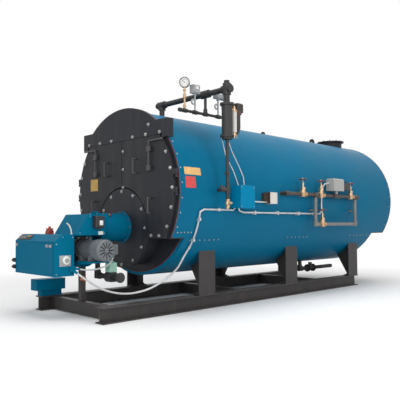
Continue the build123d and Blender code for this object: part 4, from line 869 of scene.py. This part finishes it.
def fit_barrel():
    """Sight tube on the barrel and the damper's curved lever."""
    turn = math.radians(52)
    lean = Vector((math.cos(turn), 0, math.sin(turn)))
    foot = at(0, -0.300, BARREL_Z) + lean * 0.163
    neck = foot + lean * 0.022
    sight = drum(foot, neck, radius=0.012, sides=24)
    cap = drum(neck, foot + lean * 0.034, radius=0.017, sides=24, rounding=0.003)
    keep(join([sight, cap]), "sight_tube", "boiler", "copper")
    lever_x, lever_y, lever_z = 0.150, -0.832, 0.914
    bend_x = 0.030
    fresh()
    bpy.ops.mesh.primitive_circle_add(vertices=12, radius=0.008, location=at(lever_x, lever_y, lever_z))
    lever = settle(bpy.context.object)
    bpy.ops.object.mode_set(mode="EDIT")
    bpy.ops.mesh.select_all(action="SELECT")
    bpy.ops.mesh.edge_face_add()
    bpy.ops.mesh.spin(steps=14, angle=math.radians(80), center=at(bend_x, lever_y, lever_z), axis=(0, 1, 0))
    close()
    pivot = drum(at(lever_x, lever_y, 0.911), at(lever_x, lever_y, 0.926), radius=0.014, sides=20)
    keep(join([lever, pivot]), "damper_lever", "boiler", "device_white")


def fit_motor():
    """Lifting eye, adapter ring with its nuts, and the fan cover's screws."""
    eye_x = 0.190
    eye_foot = 0.856
    fresh()
    bpy.ops.mesh.primitive_torus_add(major_radius=0.020, minor_radius=0.006, major_segments=28,
                                     minor_segments=10, location=at(eye_x, MOTOR_Y, 0.868),
                                     rotation=(math.pi / 2, 0, 0))
    eye = settle(bpy.context.object)
    pick(eye, lambda face: face.center.z < eye_foot)
    bpy.ops.transform.translate(value=(0, 0, -0.006))
    close()
    shank = drum(at(eye_x, MOTOR_Y, 0.832), at(eye_x, MOTOR_Y, 0.852), radius=0.011, sides=20)
    keep(join([eye, shank]), "motor_lifting_eye", "boiler", "motor_grey")
    fresh()
    bpy.ops.mesh.primitive_cylinder_add(vertices=64, radius=0.109, depth=0.014, end_fill_type="NOTHING",
                                        location=at(0.027, MOTOR_Y, MOTOR_Z), rotation=(0, math.pi / 2, 0))
    adapter = settle(bpy.context.object)
    thick = adapter.modifiers.new("width", "SOLIDIFY")
    thick.thickness = 0.044
    thick.offset = 1.0
    soft = adapter.modifiers.new("rounding", "BEVEL")
    soft.width = 0.002
    soft.segments = 2
    keep(adapter, "motor_adapter_ring", "boiler", "device_black")
    nuts = ring(at(0.034, MOTOR_Y, MOTOR_Z), RIGHT, radius=0.140, count=8, start=22.5)
    copies(model_bolt(radius=0.008), nuts, "adapter_nuts", "boiler", "zinc_bolt")
    cover_radius = 0.117
    screws = []
    for turn in QUARTERS:
        spot = at(0.440, MOTOR_Y + cover_radius * math.cos(turn), MOTOR_Z + cover_radius * math.sin(turn))
        screws.append(facing(spot, (0, math.cos(turn), math.sin(turn))))
    copies(model_screw(radius=0.006), screws, "fan_cover_screws", "boiler", "zinc_bolt")


def fit_hood():
    """Terminal block on the ignition box and a blank plate on the hood."""
    block = box(at(0.310, -0.575, 1.010), at(0.316, -0.530, 1.062), rounding=0.002)
    step_face(block, RIGHT, border=0.005, shift=0.003, least_area=0.001)
    keep(block, "ignition_terminal_block", "boiler", "dial_white")
    tag = box(at(HOOD_SIDE, -0.545, 0.905), at(0.242, -0.482, 0.943), rounding=0.0008)
    step_face(tag, RIGHT, border=0.004, shift=-0.0006, least_area=0.001)
    keep(tag, "blank_hood_plate", "boiler", "dial_white")


def fit_gas_train():
    """Cap on the actuator, bolts on the gas valve and the pilot's regulator."""
    cap = drum(at(0.270, -0.395, 0.591), at(0.270, -0.395, 0.606), radius=0.032, sides=32, rounding=0.005)
    step_end(cap, UP, border=0.010, shift=0.008)
    keep(cap, "actuator_cap", "boiler", "actuator_green")
    corners = [facing(at(x, -0.450, z), FORWARD) for x in (0.232, 0.308) for z in (0.400, 0.460)]
    copies(model_bolt(radius=0.006), corners, "gas_valve_bolts", "boiler", "painted_bolt")
    body = drum(at(0.030, -0.622, 0.410), at(0.072, -0.622, 0.410), radius=0.030, sides=32, rounding=0.006)
    step_end(body, RIGHT, border=0.014, shift=0.022)
    keep(body, "pilot_regulator", "boiler", "copper")


# Skid, rear end, stack, blowdown valve and the tube ends behind the doors
SADDLES = (0.692, 2.394, 4.080)
FOOT_X, FOOT_TOP, FOOT_BOLT = 0.655, 0.185, 0.105
REAR_SILL = 0.940
STACK_Y = 4.590
TUBE_ROWS, TUBE_COLUMNS = 12, range(-9, 10)
TUBE_PITCH, TUBE_RISE, FIRST_ROW = 0.088, 0.086, 1.000
FURNACE_CLEARANCE, TUBE_FIELD = 0.510, 0.800


def fit_base():
    """Bolts on the saddle feet, the rear door, the stack flange and the blowdown valve."""
    feet = [facing(at(sign * FOOT_X, saddle + along, FOOT_TOP), UP)
            for sign in (-1, 1) for saddle in SADDLES for along in (-FOOT_BOLT, FOOT_BOLT)]
    copies(model_bolt(radius=0.013), feet, "saddle_bolts", "boiler", "painted_bolt")
    around = ring(at(0, REAR_RIM, AXIS_Z), -FORWARD, radius=0.922, count=34)
    rear = [place for place in around if place.translation.z > REAR_SILL + 0.015]
    sill = [facing(at(x, REAR_RIM, REAR_SILL), -FORWARD) for x in (-0.66, -0.44, -0.22, 0, 0.22, 0.44, 0.66)]
    copies(model_bolt(radius=0.014), rear + sill, "rear_door_nuts", "boiler", "zinc_bolt")
    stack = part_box("stack_outlet")[1][2]
    stack_bolts = ring(at(0, STACK_Y, stack), UP, radius=0.218, count=12)
    copies(model_bolt(radius=0.010), stack_bolts, "stack_bolts", "boiler", "painted_bolt")
    flange, bolt_circle = at(0.250, 3.450, 0.300), 0.046
    ends = [facing(flange + Vector((bolt_circle * math.cos(turn), 0, bolt_circle * math.sin(turn))), FORWARD)
            for turn in QUARTERS]
    copies(model_bolt(radius=0.007), ends, "blowdown_bolts", "boiler", "painted_bolt")


def fit_tubes():
    """Tube ends standing out of the front tube sheet round the furnace."""
    fresh()
    bpy.ops.mesh.primitive_cylinder_add(vertices=20, radius=0.032, depth=0.012, location=(0, 0, 0.006))
    end = settle(bpy.context.object)
    step_end(end, UP, border=0.005, shift=-0.0115)
    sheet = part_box("front_tube_sheet")[0][1] - FRONT_Y
    places = []
    for row in range(TUBE_ROWS):
        for column in TUBE_COLUMNS:
            x = column * TUBE_PITCH + (row % 2) * TUBE_PITCH / 2
            z = FIRST_ROW + row * TUBE_RISE
            outside_furnace = math.hypot(x, z - BURNER_Z) > FURNACE_CLEARANCE
            if outside_furnace and math.hypot(x, z - AXIS_Z) < TUBE_FIELD:
                places.append(facing(at(x, sheet, z), FORWARD))
    copies(end, places, "tube_ends", "boiler", "soot")


# Free conduits along the same points as the solids
BURNER_ROUTE = [(0.239, -0.811, 0.493), (0.314, -0.700, 0.388), (0.422, -0.580, 0.300),
                (0.566, -0.420, 0.258), (0.700, -0.245, 0.295), (0.765, -0.090, 0.372),
                (0.765, 0.055, 0.445), (0.745, 0.175, 0.508), (0.715, 0.262, 0.578),
                (0.720, 0.314, 0.656), (0.775, 0.325, 0.731)]
MOTOR_ROUTE = [(0.230, -0.775, 0.535), (0.270, -0.690, 0.518), (0.322, -0.605, 0.534),
               (0.362, -0.525, 0.560), (0.378, -0.470, 0.600), (0.372, -0.440, 0.652)]


def lay_conduit(node, route, diameter):
    """Smooth round conduit along a route, in place of its plain solid."""
    data = bpy.data.curves.new(f"{node}_line", "CURVE")
    data.dimensions = "3D"
    data.bevel_depth = diameter / 2
    data.bevel_resolution = 5
    data.resolution_u = 14
    data.use_fill_caps = True
    spline = data.splines.new("NURBS")
    spline.points.add(len(route) - 1)
    for point, place in zip(spline.points, route):
        point.co = (*at(*place), 1)
    spline.order_u = 3
    spline.use_endpoint_u = True
    line = bpy.data.objects.new(f"{node}_line", data)
    bpy.context.collection.objects.link(line)
    data.materials.append(FINISH["cord_grey"])
    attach(line, "boiler")
    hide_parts(node)


bpy.context.tool_settings.mesh_select_mode = (False, False, True)
place_camera()
lay_floor()
light_scene()
dress_nodes()
fit_front()
fit_jacket()
fit_gauge()
fit_trim()
fit_cabinet()
fit_switches()
fit_timer()
fit_seams()
fit_barrel()
fit_motor()
fit_hood()
fit_gas_train()
fit_base()
fit_tubes()
lay_conduit("burner_conduit", BURNER_ROUTE, diameter=0.022)
lay_conduit("motor_conduit", MOTOR_ROUTE, diameter=0.018)
bpy.context.scene.view_settings.view_transform = "Standard"
